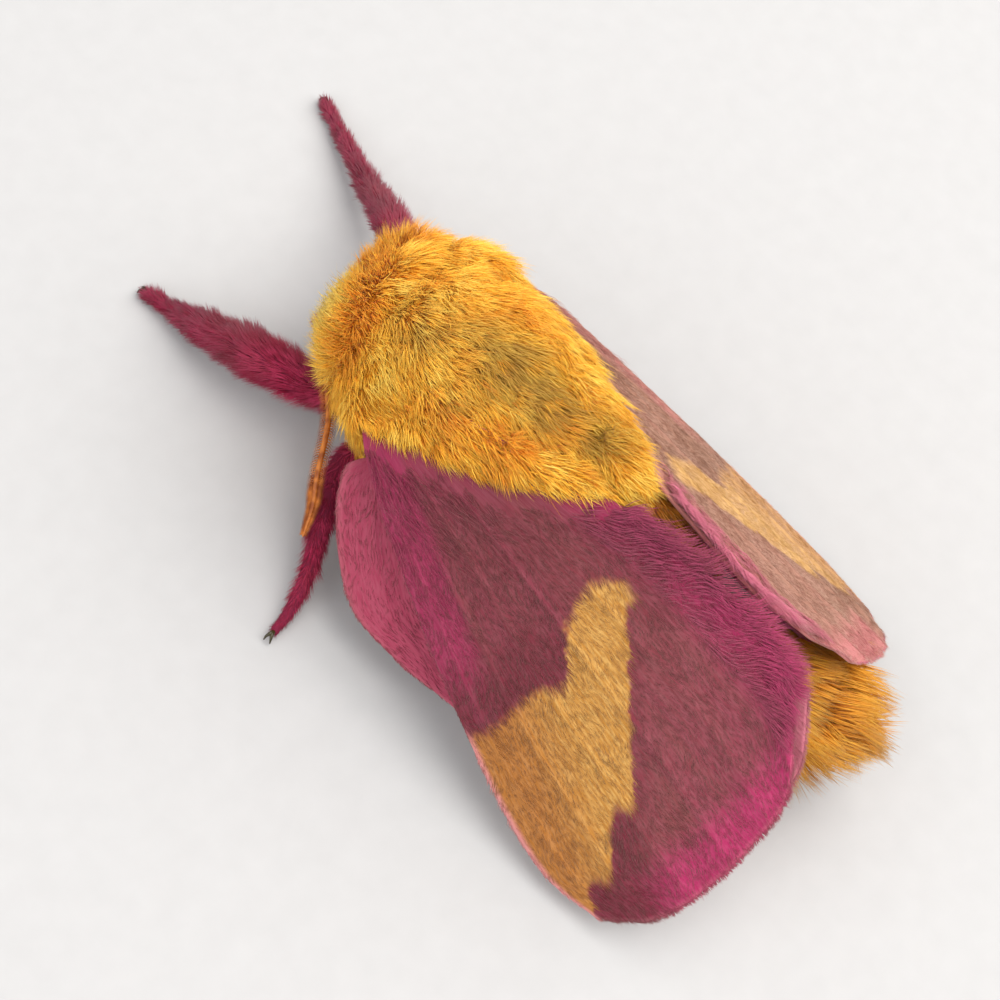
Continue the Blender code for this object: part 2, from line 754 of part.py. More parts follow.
def leg_body(path, radii):
    line = smooth_line([point * MM for point in path], LEG_RINGS)
    sizes = [size.x * MM for size in smooth_line([Vector((radius, 0.0)) for radius in radii], LEG_RINGS)]
    body = sweep(line, sizes, sizes, Vector((0.0, 0.0, 1.0)), 8)
    return combine(body, [grown_thorax()], "DIFFERENCE")


def leg_locks(path, radii, stations, others, seed):
    """Rows of short locks along the thick part of a leg, lying towards the foot."""
    draw = random.Random(seed)
    line = smooth_line([point * MM for point in path], LEG_STEPS + 1)
    sizes = smooth_line([Vector((radius, 0.0)) for radius in radii], LEG_STEPS + 1)
    locks = []
    for station in stations:
        for turn in LEG_LOCK_TURNS:
            start = round(station * LEG_STEPS)
            length = draw.uniform(*LEG_LOCK_REACH)
            around = turn + draw.uniform(-0.3, 0.3)
            path_points = []
            for step in range(SHORT_LOCK_STEPS + 1):
                share = step / SHORT_LOCK_STEPS
                index = min(LEG_STEPS, round(start + length * share))
                along = (line[min(index + 1, LEG_STEPS)] - line[index - 1]).normalized()
                side = along.cross(Vector((0.0, 0.0, 1.0))).normalized()
                out = side * math.cos(around) + side.cross(along) * math.sin(around)
                rise = LEG_LOCK_ROOT + LEG_LOCK_RISE * math.sin(share * LEG_LOCK_BOW)
                path_points.append(line[index] + out * sizes[index].x * MM * rise)
            piece = lock(path_points, LEG_LOCK_WIDTH, LEG_LOCK_THICK, out, others)
            if piece:
                locks.append(piece)
    return locks


def flat_feet(mesh):
    """Cut the foot off level with the floor."""
    bm = bmesh.new()
    bm.from_mesh(mesh)
    every = bm.verts[:] + bm.edges[:] + bm.faces[:]
    cut = bmesh.ops.bisect_plane(bm, geom=every, plane_co=(0, 0, 0), plane_no=(0, 0, 1), clear_inner=True)
    edges = [item for item in cut["geom_cut"] if isinstance(item, bmesh.types.BMEdge)]
    bmesh.ops.edgeloop_fill(bm, edges=edges)
    bmesh.ops.triangulate(bm, faces=bm.faces)
    return to_mesh(bm)


def head_mesh():
    skull = ball(HEAD_CENTRE, HEAD_SIZE, 14, 10)
    palps = []
    for side in (1, -1):
        path = smooth_line([Vector((point.x * side, point.y, point.z)) * MM for point in PALP_PATH], 5)
        sizes = [radius * MM for radius in PALP_RADII]
        palps.append(sweep(path, sizes, sizes, Vector((0.0, 0.0, 1.0)), 8))
    head = combine(skull, palps, "UNION")
    socket = EYE_RADIUS + GAP
    sockets = []
    for side in (1, -1):
        centre = Vector((EYE_CENTRE.x * side, EYE_CENTRE.y, EYE_CENTRE.z))
        sockets.append(ball(centre, Vector((socket, socket, socket)), 12, 8))
    return combine(head, sockets + [grown_thorax()], "DIFFERENCE")


def head_locks(others):
    draw = random.Random(3)
    locks = []
    for polar, around in HEAD_LOCK_PLACES:
        path = []
        for step in range(SHORT_LOCK_STEPS + 1):
            share = step / SHORT_LOCK_STEPS
            aim = direction(math.radians(polar) - HEAD_LOCK_TURN * share, math.radians(around))
            size = HEAD_SIZE * (HEAD_LOCK_ROOT + HEAD_LOCK_REACH * share ** 0.8 * draw.uniform(0.95, 1.0))
            path.append(HEAD_CENTRE + Vector((size.x * aim.x, size.y * aim.y, size.z * aim.z)))
        out = direction(math.radians(polar), math.radians(around))
        piece = lock(path, HEAD_LOCK_WIDTH, LEG_LOCK_THICK, out, others)
        if piece:
            locks.append(piece)
    return locks


def eye_mesh(side):
    centre = Vector((EYE_CENTRE.x * side, EYE_CENTRE.y, EYE_CENTRE.z))
    return ball(centre, Vector((EYE_RADIUS, EYE_RADIUS, EYE_RADIUS)), 12, 8)


def antenna_mesh(side):
    """A tapering blade whose edges are notched like a fine comb."""
    points = [Vector((point.x * side, point.y, point.z)) * MM for point in ANTENNA_PATH]
    line = smooth_line(points, ANTENNA_RINGS)
    widths = []
    for index in range(ANTENNA_RINGS):
        share = index / (ANTENNA_RINGS - 1)
        tooth = 1.0 if index % 2 else ANTENNA_NOTCH
        widths.append(ANTENNA_WIDTH * tooth * (1.0 - 0.55 * share ** 2))
    heights = [ANTENNA_THICK * (1.0 - 0.3 * index / (ANTENNA_RINGS - 1)) for index in range(ANTENNA_RINGS)]
    return sweep(line, widths, heights, Vector((0.0, 0.3, 1.0)), 6)


def meshes(names):
    return [bpy.data.objects[name].data for name in names]


def centre_on_floor():
    """Move every node so that the box's middle stands over the origin, its base on the floor."""
    points = [vert.co for thing in bpy.data.objects for vert in thing.data.vertices]
    low = Vector(min(point[axis] for point in points) for axis in range(3))
    high = Vector(max(point[axis] for point in points) for axis in range(3))
    shift = Vector((-(low.x + high.x) / 2, -(low.y + high.y) / 2, -low.z))
    for thing in bpy.data.objects:
        thing.data.transform(Matrix.Translation(shift))
    print("moved by, in mm:", [round(value / MM, 3) for value in shift])


def main():
    clear_scene()
    crimson = make_material("crimson fur", CRIMSON, 0.8)
    rose = make_material("wing scales", ROSE, 0.75)
    gold = make_material("golden fur", GOLD, 0.85)
    ochre = make_material("abdomen fur", OCHRE, 0.85)
    black = make_material("eye", BLACK, 0.2)
    amber = make_material("antenna", AMBER, 0.6)
    build_wings(rose)
    wings = [thing.name for thing in bpy.data.objects]
    for name, side in (("left", 1), ("right", -1)):
        place("eye_" + name, eye_mesh(side), black)
        place("antenna_" + name, antenna_mesh(side), amber)
    face = ["eye_left", "eye_right", "antenna_left", "antenna_right"]
    legs = []
    for name, (path, radii, stations) in LEGS.items():
        others = shapes_tree(meshes(wings + face + legs))
        body = leg_body(path, radii)
        mesh = combine(body, leg_locks(path, radii, stations, others, len(legs)), "UNION")
        place("leg_" + name, flat_feet(mesh), crimson)
        legs.append("leg_" + name)
    head = combine(head_mesh(), head_locks(shapes_tree(meshes(face + legs) + [grown_thorax()])), "UNION")
    place("head", head, crimson)
    build_abdomen(ochre, meshes(wings + legs))
    build_thorax(gold, meshes(wings + face + legs + ["head", "abdomen"]), meshes(wings))
    centre_on_floor()


main()
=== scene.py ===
# %% [markdown]
# # A rosy maple moth at rest
# The moth sits on a pale sheet, with its forelegs stretched out and its wings folded like a roof
# over the abdomen. This lesson dresses the packed solids: one skin for the body, four thin wings
# with their markings, and a coat of many thousand small tufts. Everything is measured in the
# moth's own millimetres and turned into metres when a mesh is made.

# %% Load the frame
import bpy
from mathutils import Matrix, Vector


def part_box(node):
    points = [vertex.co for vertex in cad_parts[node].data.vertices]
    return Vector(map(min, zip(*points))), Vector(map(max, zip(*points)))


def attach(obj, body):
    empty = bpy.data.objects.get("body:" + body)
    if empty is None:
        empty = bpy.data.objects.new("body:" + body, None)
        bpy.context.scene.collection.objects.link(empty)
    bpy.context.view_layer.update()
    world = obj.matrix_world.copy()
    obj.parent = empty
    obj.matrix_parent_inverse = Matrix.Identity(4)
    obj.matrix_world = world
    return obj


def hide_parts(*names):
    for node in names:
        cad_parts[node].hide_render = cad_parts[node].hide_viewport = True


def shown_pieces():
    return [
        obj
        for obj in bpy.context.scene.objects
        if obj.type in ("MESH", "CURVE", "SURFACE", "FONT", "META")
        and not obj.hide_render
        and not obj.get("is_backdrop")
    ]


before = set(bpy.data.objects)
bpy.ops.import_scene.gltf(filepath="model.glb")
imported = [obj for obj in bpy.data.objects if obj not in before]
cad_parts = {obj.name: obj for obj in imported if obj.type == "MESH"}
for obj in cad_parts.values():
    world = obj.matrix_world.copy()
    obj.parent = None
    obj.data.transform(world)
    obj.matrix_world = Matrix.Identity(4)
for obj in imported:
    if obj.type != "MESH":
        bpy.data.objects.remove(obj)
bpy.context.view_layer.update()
print("solids:", len(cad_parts), "nodes")

# %% [markdown]
# ## Units and origin
# The solids stand with their middle over the origin. The moth's own drawing has its origin on the
# floor below the thorax, and the eyes tell how far the two are apart.

# %% Units and origin
import math

import bpy
import numpy as np
from mathutils import Matrix, Vector
from mathutils.bvhtree import BVHTree
from mathutils.kdtree import KDTree

MM = 0.001
EYE = np.array((1.35, -5.6, 3.85))
EYE_RADIUS = 0.65


def box_middle(node):
    low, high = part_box(node)
    return np.array((low + high) / 2) / MM


origin = (box_middle("eye_left") + box_middle("eye_right")) / 2 - EYE * (0.0, 1.0, 1.0)
print("origin in mm:", origin.round(3))


def to_world(points):
    """From the moth's millimetres to metres in the frame."""
    return (np.asarray(points, float) + origin) * MM

# %% [markdown]
# ## Camera
# The picture looks down from the moth's left and rear, from about 60 degrees up, and the camera
# is rolled, so that the body runs from the upper left to the lower right.

# %% Camera
CAMERA_AZIMUTH = math.radians(114.38)
CAMERA_ELEVATION = math.radians(60.14)
CAMERA_ROLL = math.radians(23.18)
CAMERA_DISTANCE = 90.411
CAMERA_TARGET = np.array((-2.897, 1.614, -3.737))
CAMERA_FIELD = math.radians(26.0)
CAMERA_SENSOR = 36.0
CAMERA_NEAR = 0.005


def camera_axes():
    """Right, up and back of the picture, as unit vectors."""
    flat = math.cos(CAMERA_ELEVATION)
    back = Vector((
        math.sin(CAMERA_AZIMUTH) * flat, -math.cos(CAMERA_AZIMUTH) * flat,
        math.sin(CAMERA_ELEVATION)))
    level = (-back).cross(Vector((0.0, 0.0, 1.0))).normalized()
    above = level.cross(-back)
    right = level * math.cos(CAMERA_ROLL) + above * math.sin(CAMERA_ROLL)
    up = above * math.cos(CAMERA_ROLL) - level * math.sin(CAMERA_ROLL)
    return right, up, back


view_right, view_up, view_back = camera_axes()
eye_point = CAMERA_TARGET + CAMERA_DISTANCE * np.array(view_back)
bpy.ops.object.camera_add(location=to_world(eye_point))
camera = bpy.context.object
camera.rotation_mode = "QUATERNION"
camera.rotation_quaternion = Matrix((view_right, view_up, view_back)).transposed().to_quaternion()
camera.data.sensor_width = CAMERA_SENSOR
camera.data.lens = CAMERA_SENSOR / 2 / math.tan(CAMERA_FIELD / 2)
camera.data.clip_start = CAMERA_NEAR
bpy.context.scene.camera = camera
print("camera", round(CAMERA_DISTANCE), "mm away")

# %% [markdown]
# ## Floor and light
# The real moth sits on white card by a window. A wide, soft light stands for the window at the
# upper right of the picture, a weak one fills the shade, and the world gives the rest, a little
# cool.

# %% Floor and light
FLOOR_SIZE = 3.0
LIGHT_SIZE = 0.38
LIGHT_DISTANCE = 0.30
WINDOW_POWER = 1.55
WINDOW_COLOUR = (1.0, 0.985, 0.96)
WINDOW_AIM = view_right * 1.0 + view_up * 0.6 + view_back * 0.9
FILL_POWER = 0.62
FILL_COLOUR = (0.95, 0.97, 1.0)
FILL_AIM = view_back * 1.0 - view_right * 0.6 - view_up * 0.2
SKY_COLOUR = (0.93, 0.95, 1.0, 1.0)
SKY_STRENGTH = 0.64

bpy.ops.object.select_all(action="DESELECT")
bpy.ops.mesh.primitive_plane_add(size=FLOOR_SIZE, location=(0.0, 0.0, 0.0))
floor = bpy.context.object
floor.name = "floor"
floor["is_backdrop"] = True


def add_light(name, aim, power, colour):
    """A square soft light that shines on the moth from a direction."""
    place = Vector(aim).normalized() * LIGHT_DISTANCE
    bpy.ops.object.light_add(type="AREA", location=place)
    light = bpy.context.object
    light.name = name
    light.rotation_mode = "QUATERNION"
    light.rotation_quaternion = place.to_track_quat("Z", "Y")
    light.data.size = LIGHT_SIZE
    light.data.energy = power
    light.data.color = colour


add_light("window", WINDOW_AIM, WINDOW_POWER, WINDOW_COLOUR)
add_light("fill", FILL_AIM, FILL_POWER, FILL_COLOUR)
world = bpy.data.worlds.new("daylight")
world.use_nodes = True
sky = world.node_tree.nodes["Background"]
sky.inputs["Color"].default_value = SKY_COLOUR
sky.inputs["Strength"].default_value = SKY_STRENGTH
bpy.context.scene.world = world
bpy.context.scene.view_settings.view_transform = "Standard"

# %% [markdown] ## A small kit for finishes Every finish here is a graph of nodes that ends in
# one Principled shader. Marks have soft borders: such a border is a pair of numbers, where the
# mark's share is 0 and where it is 1.

# %% Finish kit
class Finish:
    """One material, with short ways to add the nodes that it needs."""

    def __init__(self, name, roughness, specular=0.3):
        self.material = bpy.data.materials.new(name)
        self.material.use_nodes = True
        self.tree = self.material.node_tree
        self.shader = self.tree.nodes["Principled BSDF"]
        self.shader.inputs["Roughness"].default_value = roughness
        self.shader.inputs["Specular IOR Level"].default_value = specular

    def put(self, socket, value):
        if isinstance(value, bpy.types.NodeSocket):
            self.tree.links.new(value, socket)
        elif value is not None:
            socket.default_value = value

    def add(self, kind, inputs=(), output=0, **settings):
        node = self.tree.nodes.new(kind)
        for key, value in settings.items():
            setattr(node, key, value)
        for key, value in dict(inputs).items():
            self.put(node.inputs[key], value)
        return node.outputs[output]

    def math(self, operation, first, second=None):
        return self.add("ShaderNodeMath", {0: first, 1: second}, operation=operation)

    def ease(self, value, low, high):
        """From 0 at low to 1 at high, with soft ends; low may be the higher number."""
        flip = low > high
        inputs = {"Value": value, "From Min": min(low, high), "From Max": max(low, high)}
        if flip:
            inputs.update({"To Min": 1.0, "To Max": 0.0})
        return self.add("ShaderNodeMapRange", inputs, interpolation_type="SMOOTHSTEP")

    def mix(self, share, first, second, blend="MIX"):
        inputs = {0: share, 6: first, 7: second}
        return self.add("ShaderNodeMix", inputs, output=2, data_type="RGBA", blend_type=blend)

    def noise(self, vector, scale, detail=2.0):
        inputs = {"Vector": vector, "Scale": scale, "Detail": detail}
        return self.add("ShaderNodeTexNoise", inputs)

    def stretched(self, vector, scales):
        return self.add("ShaderNodeMapping", {"Vector": vector, "Scale": scales})

    def attribute(self, name):
        return self.add("ShaderNodeAttribute", output=2, attribute_name=name)

    def map(self, name):
        return self.add("ShaderNodeUVMap", uv_map=name)

    def place(self):
        return self.add("ShaderNodeTexCoord", output=3)

    def ramp(self, value, stops):
        output = self.add("ShaderNodeValToRGB", {0: value})
        ramp = output.node.color_ramp
        while len(ramp.elements) < len(stops):
            ramp.elements.new(0.5)
        for element, (where, colour) in zip(ramp.elements, stops):
            element.position = where
            element.color = colour
        return output

    def curve(self, value, points, low, high, top):
        """A drawn line through points, read at a value that runs from low to high."""
        share = self.add("ShaderNodeMapRange", {"Value": value, "From Min": low, "From Max": high})
        output = self.add("ShaderNodeFloatCurve", {"Value": share})
        line = output.node.mapping.curves[0]
        while len(line.points) < len(points):
            line.points.new(0.5, 0.5)
        for point, (where, height) in zip(line.points, points):
            point.location = ((where - low) / (high - low), height / top)
        output.node.mapping.update()
        return self.math("MULTIPLY", output, top)

    def bump(self, height, strength, distance):
        inputs = {"Height": height, "Strength": strength, "Distance": distance}
        self.put(self.shader.inputs["Normal"], self.add("ShaderNodeBump", inputs))

    def colour(self, value):
        self.put(self.shader.inputs["Base Color"], value)
        return self.material


print("finish kit:", len([name for name in vars(Finish) if name[0] != "_"]), "short ways")

# %% Screen colours and the card
CARD_GRAIN = 900.0


def colour(red, green, blue):
    """A screen colour from 0 to 255, as the linear values that a shader takes."""
    values = []
    for level in (red, green, blue):
        level = level / 255
        values.append(level / 12.92 if level <= 0.04045 else ((level + 0.055) / 1.055) ** 2.4)
    return (*values, 1.0)


CARD_DARK = colour(184, 182, 180)
CARD_LIGHT = colour(191, 189, 187)

card = Finish("white_card", roughness=0.85)
card_grain = card.noise(card.place(), CARD_GRAIN, detail=4.0)
card.bump(card_grain, strength=0.08, distance=0.0001)
card.colour(card.mix(card_grain, CARD_DARK, CARD_LIGHT))
floor.data.materials.append(card.material)
print("finish:", card.material.name)

# %% [markdown]
# ## Smooth lines
# The legs, the abdomen, the feelers and the edges of the wings are drawn as a few points with a
# smooth curve through them. The same curve is used for the solids, so the two agree.

# %% Smooth lines
def smooth_line(points, count):
    """Even steps along a Catmull-Rom curve through the points."""
    points = np.asarray(points, float)
    ends = np.vstack((points[0] * 2 - points[1], points, points[-1] * 2 - points[-2]))
    place_on = np.linspace(0.0, len(points) - 1, count)
    span = np.minimum(place_on.astype(int), len(points) - 2)
    t = (place_on - span)[:, None]
    a, b, c, d = (ends[span + step] for step in range(4))
    return 0.5 * (
        2 * b + (c - a) * t + (2 * a - 5 * b + 4 * c - d) * t * t
        + (3 * b - a - 3 * c + d) * t ** 3)


def read_line(line, share):
    """Points on a line at shares of its steps, from 0 to 1."""
    place_on = np.clip(share, 0.0, 1.0) * (len(line) - 1)
    low = np.minimum(place_on.astype(int), len(line) - 2)
    t = (place_on - low)[:, None]
    return line[low] * (1 - t) + line[low + 1] * t


def unit(vectors):
    return vectors / np.maximum(np.linalg.norm(vectors, axis=-1, keepdims=True), 1e-9)


LINE_STEPS = 200
print("lines have", LINE_STEPS, "steps")

# %% [markdown]
# ## The form of the wings
# Folded wings lie on a roof that bends a little steeper towards its eaves and falls towards the
# rear. A forewing is drawn flat, in wing lengths, and laid on that roof; a hindwing is drawn in
# millimetres of the roof itself. Each drawing is three edges: the front one, the outer margin and
# the inner one. Near its root a wing bends down to the thorax. The right pair sits a little
# further forward than the left, as in the picture.

# %% Wing form
WING_LENGTH = 22.0
WING_DEPTH = 1.1
ROOF_RIDGE = 11.35
ROOF_FALL = math.radians(6.3)
ROOF_ARC = 13.0
RIDGE_HALF_GAP = 0.5
WING_START = np.array((4.1, -3.03))
HIND_START = np.array((3.7, 1.3))
HIND_SHIFT_REACH = 8.0
FORE_ROOT = np.array((2.2, -2.6, 6.0))
HIND_ROOT = np.array((2.2, 1.5, 6.4))
FORE_ROOT_REACH = 2.2
HIND_ROOT_REACH = 2.6

FORE_EDGES = (
    ((0.0, -0.03), (0.15, -0.045), (0.35, -0.055), (0.55, -0.055), (0.75, -0.04), (0.88, -0.01),
     (0.97, 0.05)),
    ((0.97, 0.05), (1.0, 0.14), (0.987, 0.235), (0.945, 0.345), (0.885, 0.44), (0.77, 0.497)),
    ((0.0, 0.03), (0.08, 0.08), (0.25, 0.225), (0.35, 0.318), (0.45, 0.395), (0.63, 0.49),
     (0.70, 0.505), (0.77, 0.497)),
)
HIND_COSTA = (
    (4.0, 0.2), (5.6, -0.8), (7.4, -1.0), (9.6, 0.3), (11.3, 2.6), (11.4, 5.2), (11.0, 7.6),
    (10.6, 11.0))
HIND_OUTER = {
    "left": ((10.6, 11.0), (9.2, 14.0), (7.2, 16.8), (4.9, 18.4), (2.6, 18.45), (0.4, 16.8)),
    "right": ((10.6, 11.0), (9.2, 14.0), (7.4, 16.4), (5.6, 17.4), (4.2, 17.0), (3.2, 15.6)),
}
HIND_INNER = {
    "left": ((3.4, 2.4), (2.4, 6.0), (1.5, 10.0), (0.9, 14.0), (0.4, 16.8)),
    "right": ((3.4, 2.4), (2.9, 6.0), (2.7, 10.0), (2.8, 13.0), (3.2, 15.6)),
}
FORE_VEINS = (0.09, 0.23, 0.38, 0.54, 0.70, 0.87)
HIND_VEINS = (0.12, 0.30, 0.48, 0.66, 0.84)

print("forewing:", WING_LENGTH, "mm long with", len(FORE_VEINS), "veins")

# %% The roof
class Pair:
    """How the two wings of one side are held."""

    def __init__(self, side, ridge_slope, edge_slope, spread, shift):
        self.side = side
        self.ridge = math.radians(ridge_slope)
        self.edge = math.radians(edge_slope)
        self.spread = math.radians(spread)
        self.start = WING_START + np.array((0.0, shift))


PAIRS = {"left": Pair(1, 42.0, 50.8, 24.1, 0.0), "right": Pair(-1, 42.3, 51.1, 22.9, -1.7)}


def plain_roof(pair, across, along):
    """Points of the roof, from distances across it and along the body."""
    bend = (pair.edge - pair.ridge) / ROOF_ARC
    inside = np.minimum(across, ROOF_ARC)
    slope = pair.ridge + bend * inside
    beyond = across - inside
    outward = (np.sin(slope) - math.sin(pair.ridge)) / bend + beyond * math.cos(pair.edge)
    down = (math.cos(pair.ridge) - np.cos(slope)) / bend + beyond * math.sin(pair.edge)
    fall = math.tan(ROOF_FALL) * (along - pair.start[1])
    return np.stack((outward + RIDGE_HALF_GAP, along, ROOF_RIDGE - fall - down), axis=-1)


def pull(across, along, start, reach):
    """1 at a wing's root, and less away from it."""
    return np.exp(-((across - start[0]) ** 2 + (along - start[1]) ** 2) / reach ** 2)[..., None]


def roof(pair, across, along):
    root = plain_roof(pair, *pair.start)
    points = plain_roof(pair, across, along)
    return points + (FORE_ROOT - root) * pull(across, along, pair.start, FORE_ROOT_REACH)


SMALL_STEP = 0.05


def upward(surface, pair, across, along):
    """Unit normals of a roof."""
    first = surface(pair, across + SMALL_STEP, along) - surface(pair, across - SMALL_STEP, along)
    second = surface(pair, across, along + SMALL_STEP) - surface(pair, across, along - SMALL_STEP)
    return unit(np.cross(first, second))


def under_roof(pair, across, along):
    start = [np.array(value) for value in HIND_START]
    root = roof(pair, *start) - upward(roof, pair, *start) * WING_DEPTH
    points = roof(pair, across, along) - upward(roof, pair, across, along) * WING_DEPTH
    return points + (HIND_ROOT - root) * pull(across, along, HIND_START, HIND_ROOT_REACH)


print("roof slopes, in degrees:", *(round(math.degrees(pair.ridge)) for pair in PAIRS.values()))

# %% Wings on the roof
def fore_plan(pair, flat):
    """From the flat forewing, in wing lengths, to the roof's two distances."""
    along, inward = flat[:, 0] * WING_LENGTH, flat[:, 1] * WING_LENGTH
    across = pair.start[0] + along * math.sin(pair.spread) - inward * math.cos(pair.spread)
    return across, pair.start[1] + along * math.cos(pair.spread) + inward * math.sin(pair.spread)


def hind_plan(pair, flat):
    shift = pair.start[1] - WING_START[1]
    return flat[:, 0], flat[:, 1] + shift * np.clip(flat[:, 1] / HIND_SHIFT_REACH, 0.0, 1.0)


class Wing:
    """One wing: where its flat drawing, its veins and its surface come from."""

    def __init__(self, name, side, surface, plan, edges, veins):
        self.name = name + "_" + side
        self.is_fore = name == "forewing"
        self.side = side
        self.pair = PAIRS[side]
        self.surface = surface
        self.plan = plan
        self.edges = [smooth_line(edge, LINE_STEPS) for edge in edges]
        self.veins = veins

    def flat(self, column, row):
        """The flat drawing at shares from the front edge to the inner one, and from root to tip."""
        front, outer, inner = self.edges
        column_share, row_share = column[:, None], row[:, None]
        side_points = (
            read_line(front, row) * (1 - column_share) + read_line(inner, row) * column_share)
        root = front[0] * (1 - column_share) + inner[0] * column_share
        tip = front[-1] * (1 - column_share) + inner[-1] * column_share
        ends = root * (1 - row_share) + read_line(outer, column) * row_share
        return side_points + ends - root * (1 - row_share) - tip * row_share

    def points(self, column, row, lift):
        """Points in space, a lift above the middle of the sheet, and the sheet's normals."""
        across, along = self.plan(self.pair, self.flat(column, row))
        normals = upward(self.surface, self.pair, across, along)
        if np.ndim(lift):
            lift = lift[:, None]
        points = self.surface(self.pair, across, along) + normals * lift
        mirror = np.array((self.pair.side, 1.0, 1.0))
        return points * mirror, normals * mirror


def all_wings():
    wings = []
    for side in PAIRS:
        hind_edges = (HIND_COSTA, HIND_OUTER[side], HIND_INNER[side])
        wings.append(Wing("hindwing", side, under_roof, hind_plan, hind_edges, HIND_VEINS))
        wings.append(Wing("forewing", side, roof, fore_plan, FORE_EDGES, FORE_VEINS))
    return wings


WINGS = all_wings()
print("wings:", [wing.name for wing in WINGS])

# %% [markdown]
# ## Markings of the wings
# Scales colour the wings. The forewing is dusky rose with magenta along all its edges, and a
# yellow band crosses it from the front edge to past the middle. The band's two borders are drawn
# as curves over the flat wing, and noise frays them, as overlapping scales do. A picture would be
# quicker, but a drawn rule stays sharp at any size and can be read and changed. The right
# forewing turns its face away and reflects the light, so a pale cream is mixed into its colour
# as painted sheen.

# %% Wing markings
BAND_BACK = (
    (-0.10, 0.625), (0.0, 0.628), (0.05, 0.612), (0.10, 0.600), (0.135, 0.608), (0.158, 0.594),
    (0.172, 0.550), (0.21, 0.500), (0.25, 0.478), (0.30, 0.490), (0.40, 0.56))
BAND_FRONT = (
    (-0.10, 1.20), (0.04, 1.00), (0.06, 0.945), (0.10, 0.900), (0.135, 0.862), (0.165, 0.815),
    (0.205, 0.788), (0.234, 0.715), (0.25, 0.640), (0.27, 0.585), (0.30, 0.550), (0.40, 0.50))
BAND_FROM, BAND_TO, BAND_REACH = -0.10, 0.40, 1.25
BAND_TOP = 0.312
BACK_BORDER = (-0.012, 0.016)
FRONT_BORDER = (-0.010, 0.016)
TOP_BORDER = (BAND_TOP + 0.012, BAND_TOP - 0.014)
FRAY = 0.014
FRAY_SCALE = 42.0
SCALLOP = 0.021
SCALLOP_TURNS = 78.0
FINE_STREAKS = (150.0, 30.0, 1.0)
BROAD_STREAKS = (14.0, 3.0, 1.0)

ROSE = colour(134, 47, 64)
ROSE_BROWN = colour(124, 53, 55)
MAGENTA = colour(166, 28, 84)
DEEP_MAROON = colour(104, 12, 34)
BAND_YELLOW = colour(184, 125, 44)
BAND_PALE = colour(202, 152, 70)
# The next colour is painted shade, for the band near the wing's front edge.
BAND_PAINTED_SHADE = colour(164, 98, 26)
PALE_PINK = colour(222, 140, 146)
RIDGE_PINK = colour(206, 72, 136)
HIND_PINK = colour(164, 52, 80)
HIND_ROSE = colour(160, 44, 74)
HIND_MAUVE = colour(192, 106, 122)
HIND_GREY = colour(150, 110, 98)


def split(finish, vector):
    """The first two numbers of a vector."""
    node = finish.add("ShaderNodeSeparateXYZ", {0: vector}).node
    return node.outputs[0], node.outputs[1]


def frayed(finish, flat):
    """The flat wing's two distances, shaken a little so that borders look like scales."""
    inputs = {"Vector": flat, "Scale": FRAY_SCALE, "Detail": 3.0}
    shake = finish.add("ShaderNodeTexNoise", inputs, output=1)
    half = (0.5, 0.5, 0.5)
    centred = finish.add("ShaderNodeVectorMath", {0: shake, 1: half}, operation="SUBTRACT")
    scaled = finish.add("ShaderNodeVectorMath", {0: centred, "Scale": FRAY * 2}, operation="SCALE")
    moved = finish.add("ShaderNodeVectorMath", {0: flat, 1: scaled}, operation="ADD")
    return split(finish, moved)


def band_share(finish, along, inward):
    """How much a point is in the band, and how far past its two borders."""
    back = finish.curve(inward, BAND_BACK, BAND_FROM, BAND_TO, BAND_REACH)
    front = finish.curve(inward, BAND_FRONT, BAND_FROM, BAND_TO, BAND_REACH)
    wave = finish.math("SINE", finish.math("MULTIPLY", inward, SCALLOP_TURNS))
    front = finish.math("ADD", front, finish.math("MULTIPLY", wave, SCALLOP))
    into_band = finish.math("SUBTRACT", along, back)
    after_back = finish.ease(into_band, *BACK_BORDER)
    before_front = finish.ease(finish.math("SUBTRACT", front, along), *FRONT_BORDER)
    below_top = finish.ease(inward, *TOP_BORDER)
    share = finish.math("MULTIPLY", finish.math("MULTIPLY", after_back, before_front), below_top)
    return share, into_band, finish.math("SUBTRACT", along, front)


def streaks(finish, edge_map):
    """Fine streaks that run from the wing's root to its margin, as the rows of scales do."""
    fine = finish.noise(finish.stretched(edge_map, FINE_STREAKS), 1.0, detail=3.0)
    broad = finish.noise(finish.stretched(edge_map, BROAD_STREAKS), 1.0, detail=2.0)
    return fine, broad


print("band borders:", len(BAND_BACK), "and", len(BAND_FRONT), "points")

# %% Forewing colours
GROUND_PATCHES = (0.20, 0.80)
COSTA_STRIP = (0.034, 0.004)
COSTA_END = (0.66, 0.60)
OUTER_STRIP = (0.83, 0.94)
INNER_STRIP = (0.80, 0.95)
ROOT_STRIP = (0.34, 0.12)
ROOT_SHARE = 0.75
SHADE_ALONG = (-0.15, -0.03)
SHADE_INWARD = (0.22, 0.13)
SHADE_PATCHES = (0.15, 0.42)
SHADE_SHARE = 0.92
BEYOND_BAND = (0.11, 0.0)
BEYOND_SHARE = 0.42
BAND_GRAIN = (0.35, 0.7)
# Painted shade on the band near the front edge, which lies low on the steep eaves of the roof.
EAVES_SHADE_STRIP = (0.16, 0.02)
EAVES_SHADE_SHARE = 0.85
FRONT_RIM = (0.03, 0.0)
FRONT_RIM_START = (0.60, 0.66)
OUTER_RIM = (0.985, 1.0)
OUTER_RIM_SHARE = 0.25
RIM_SHARE = 0.8


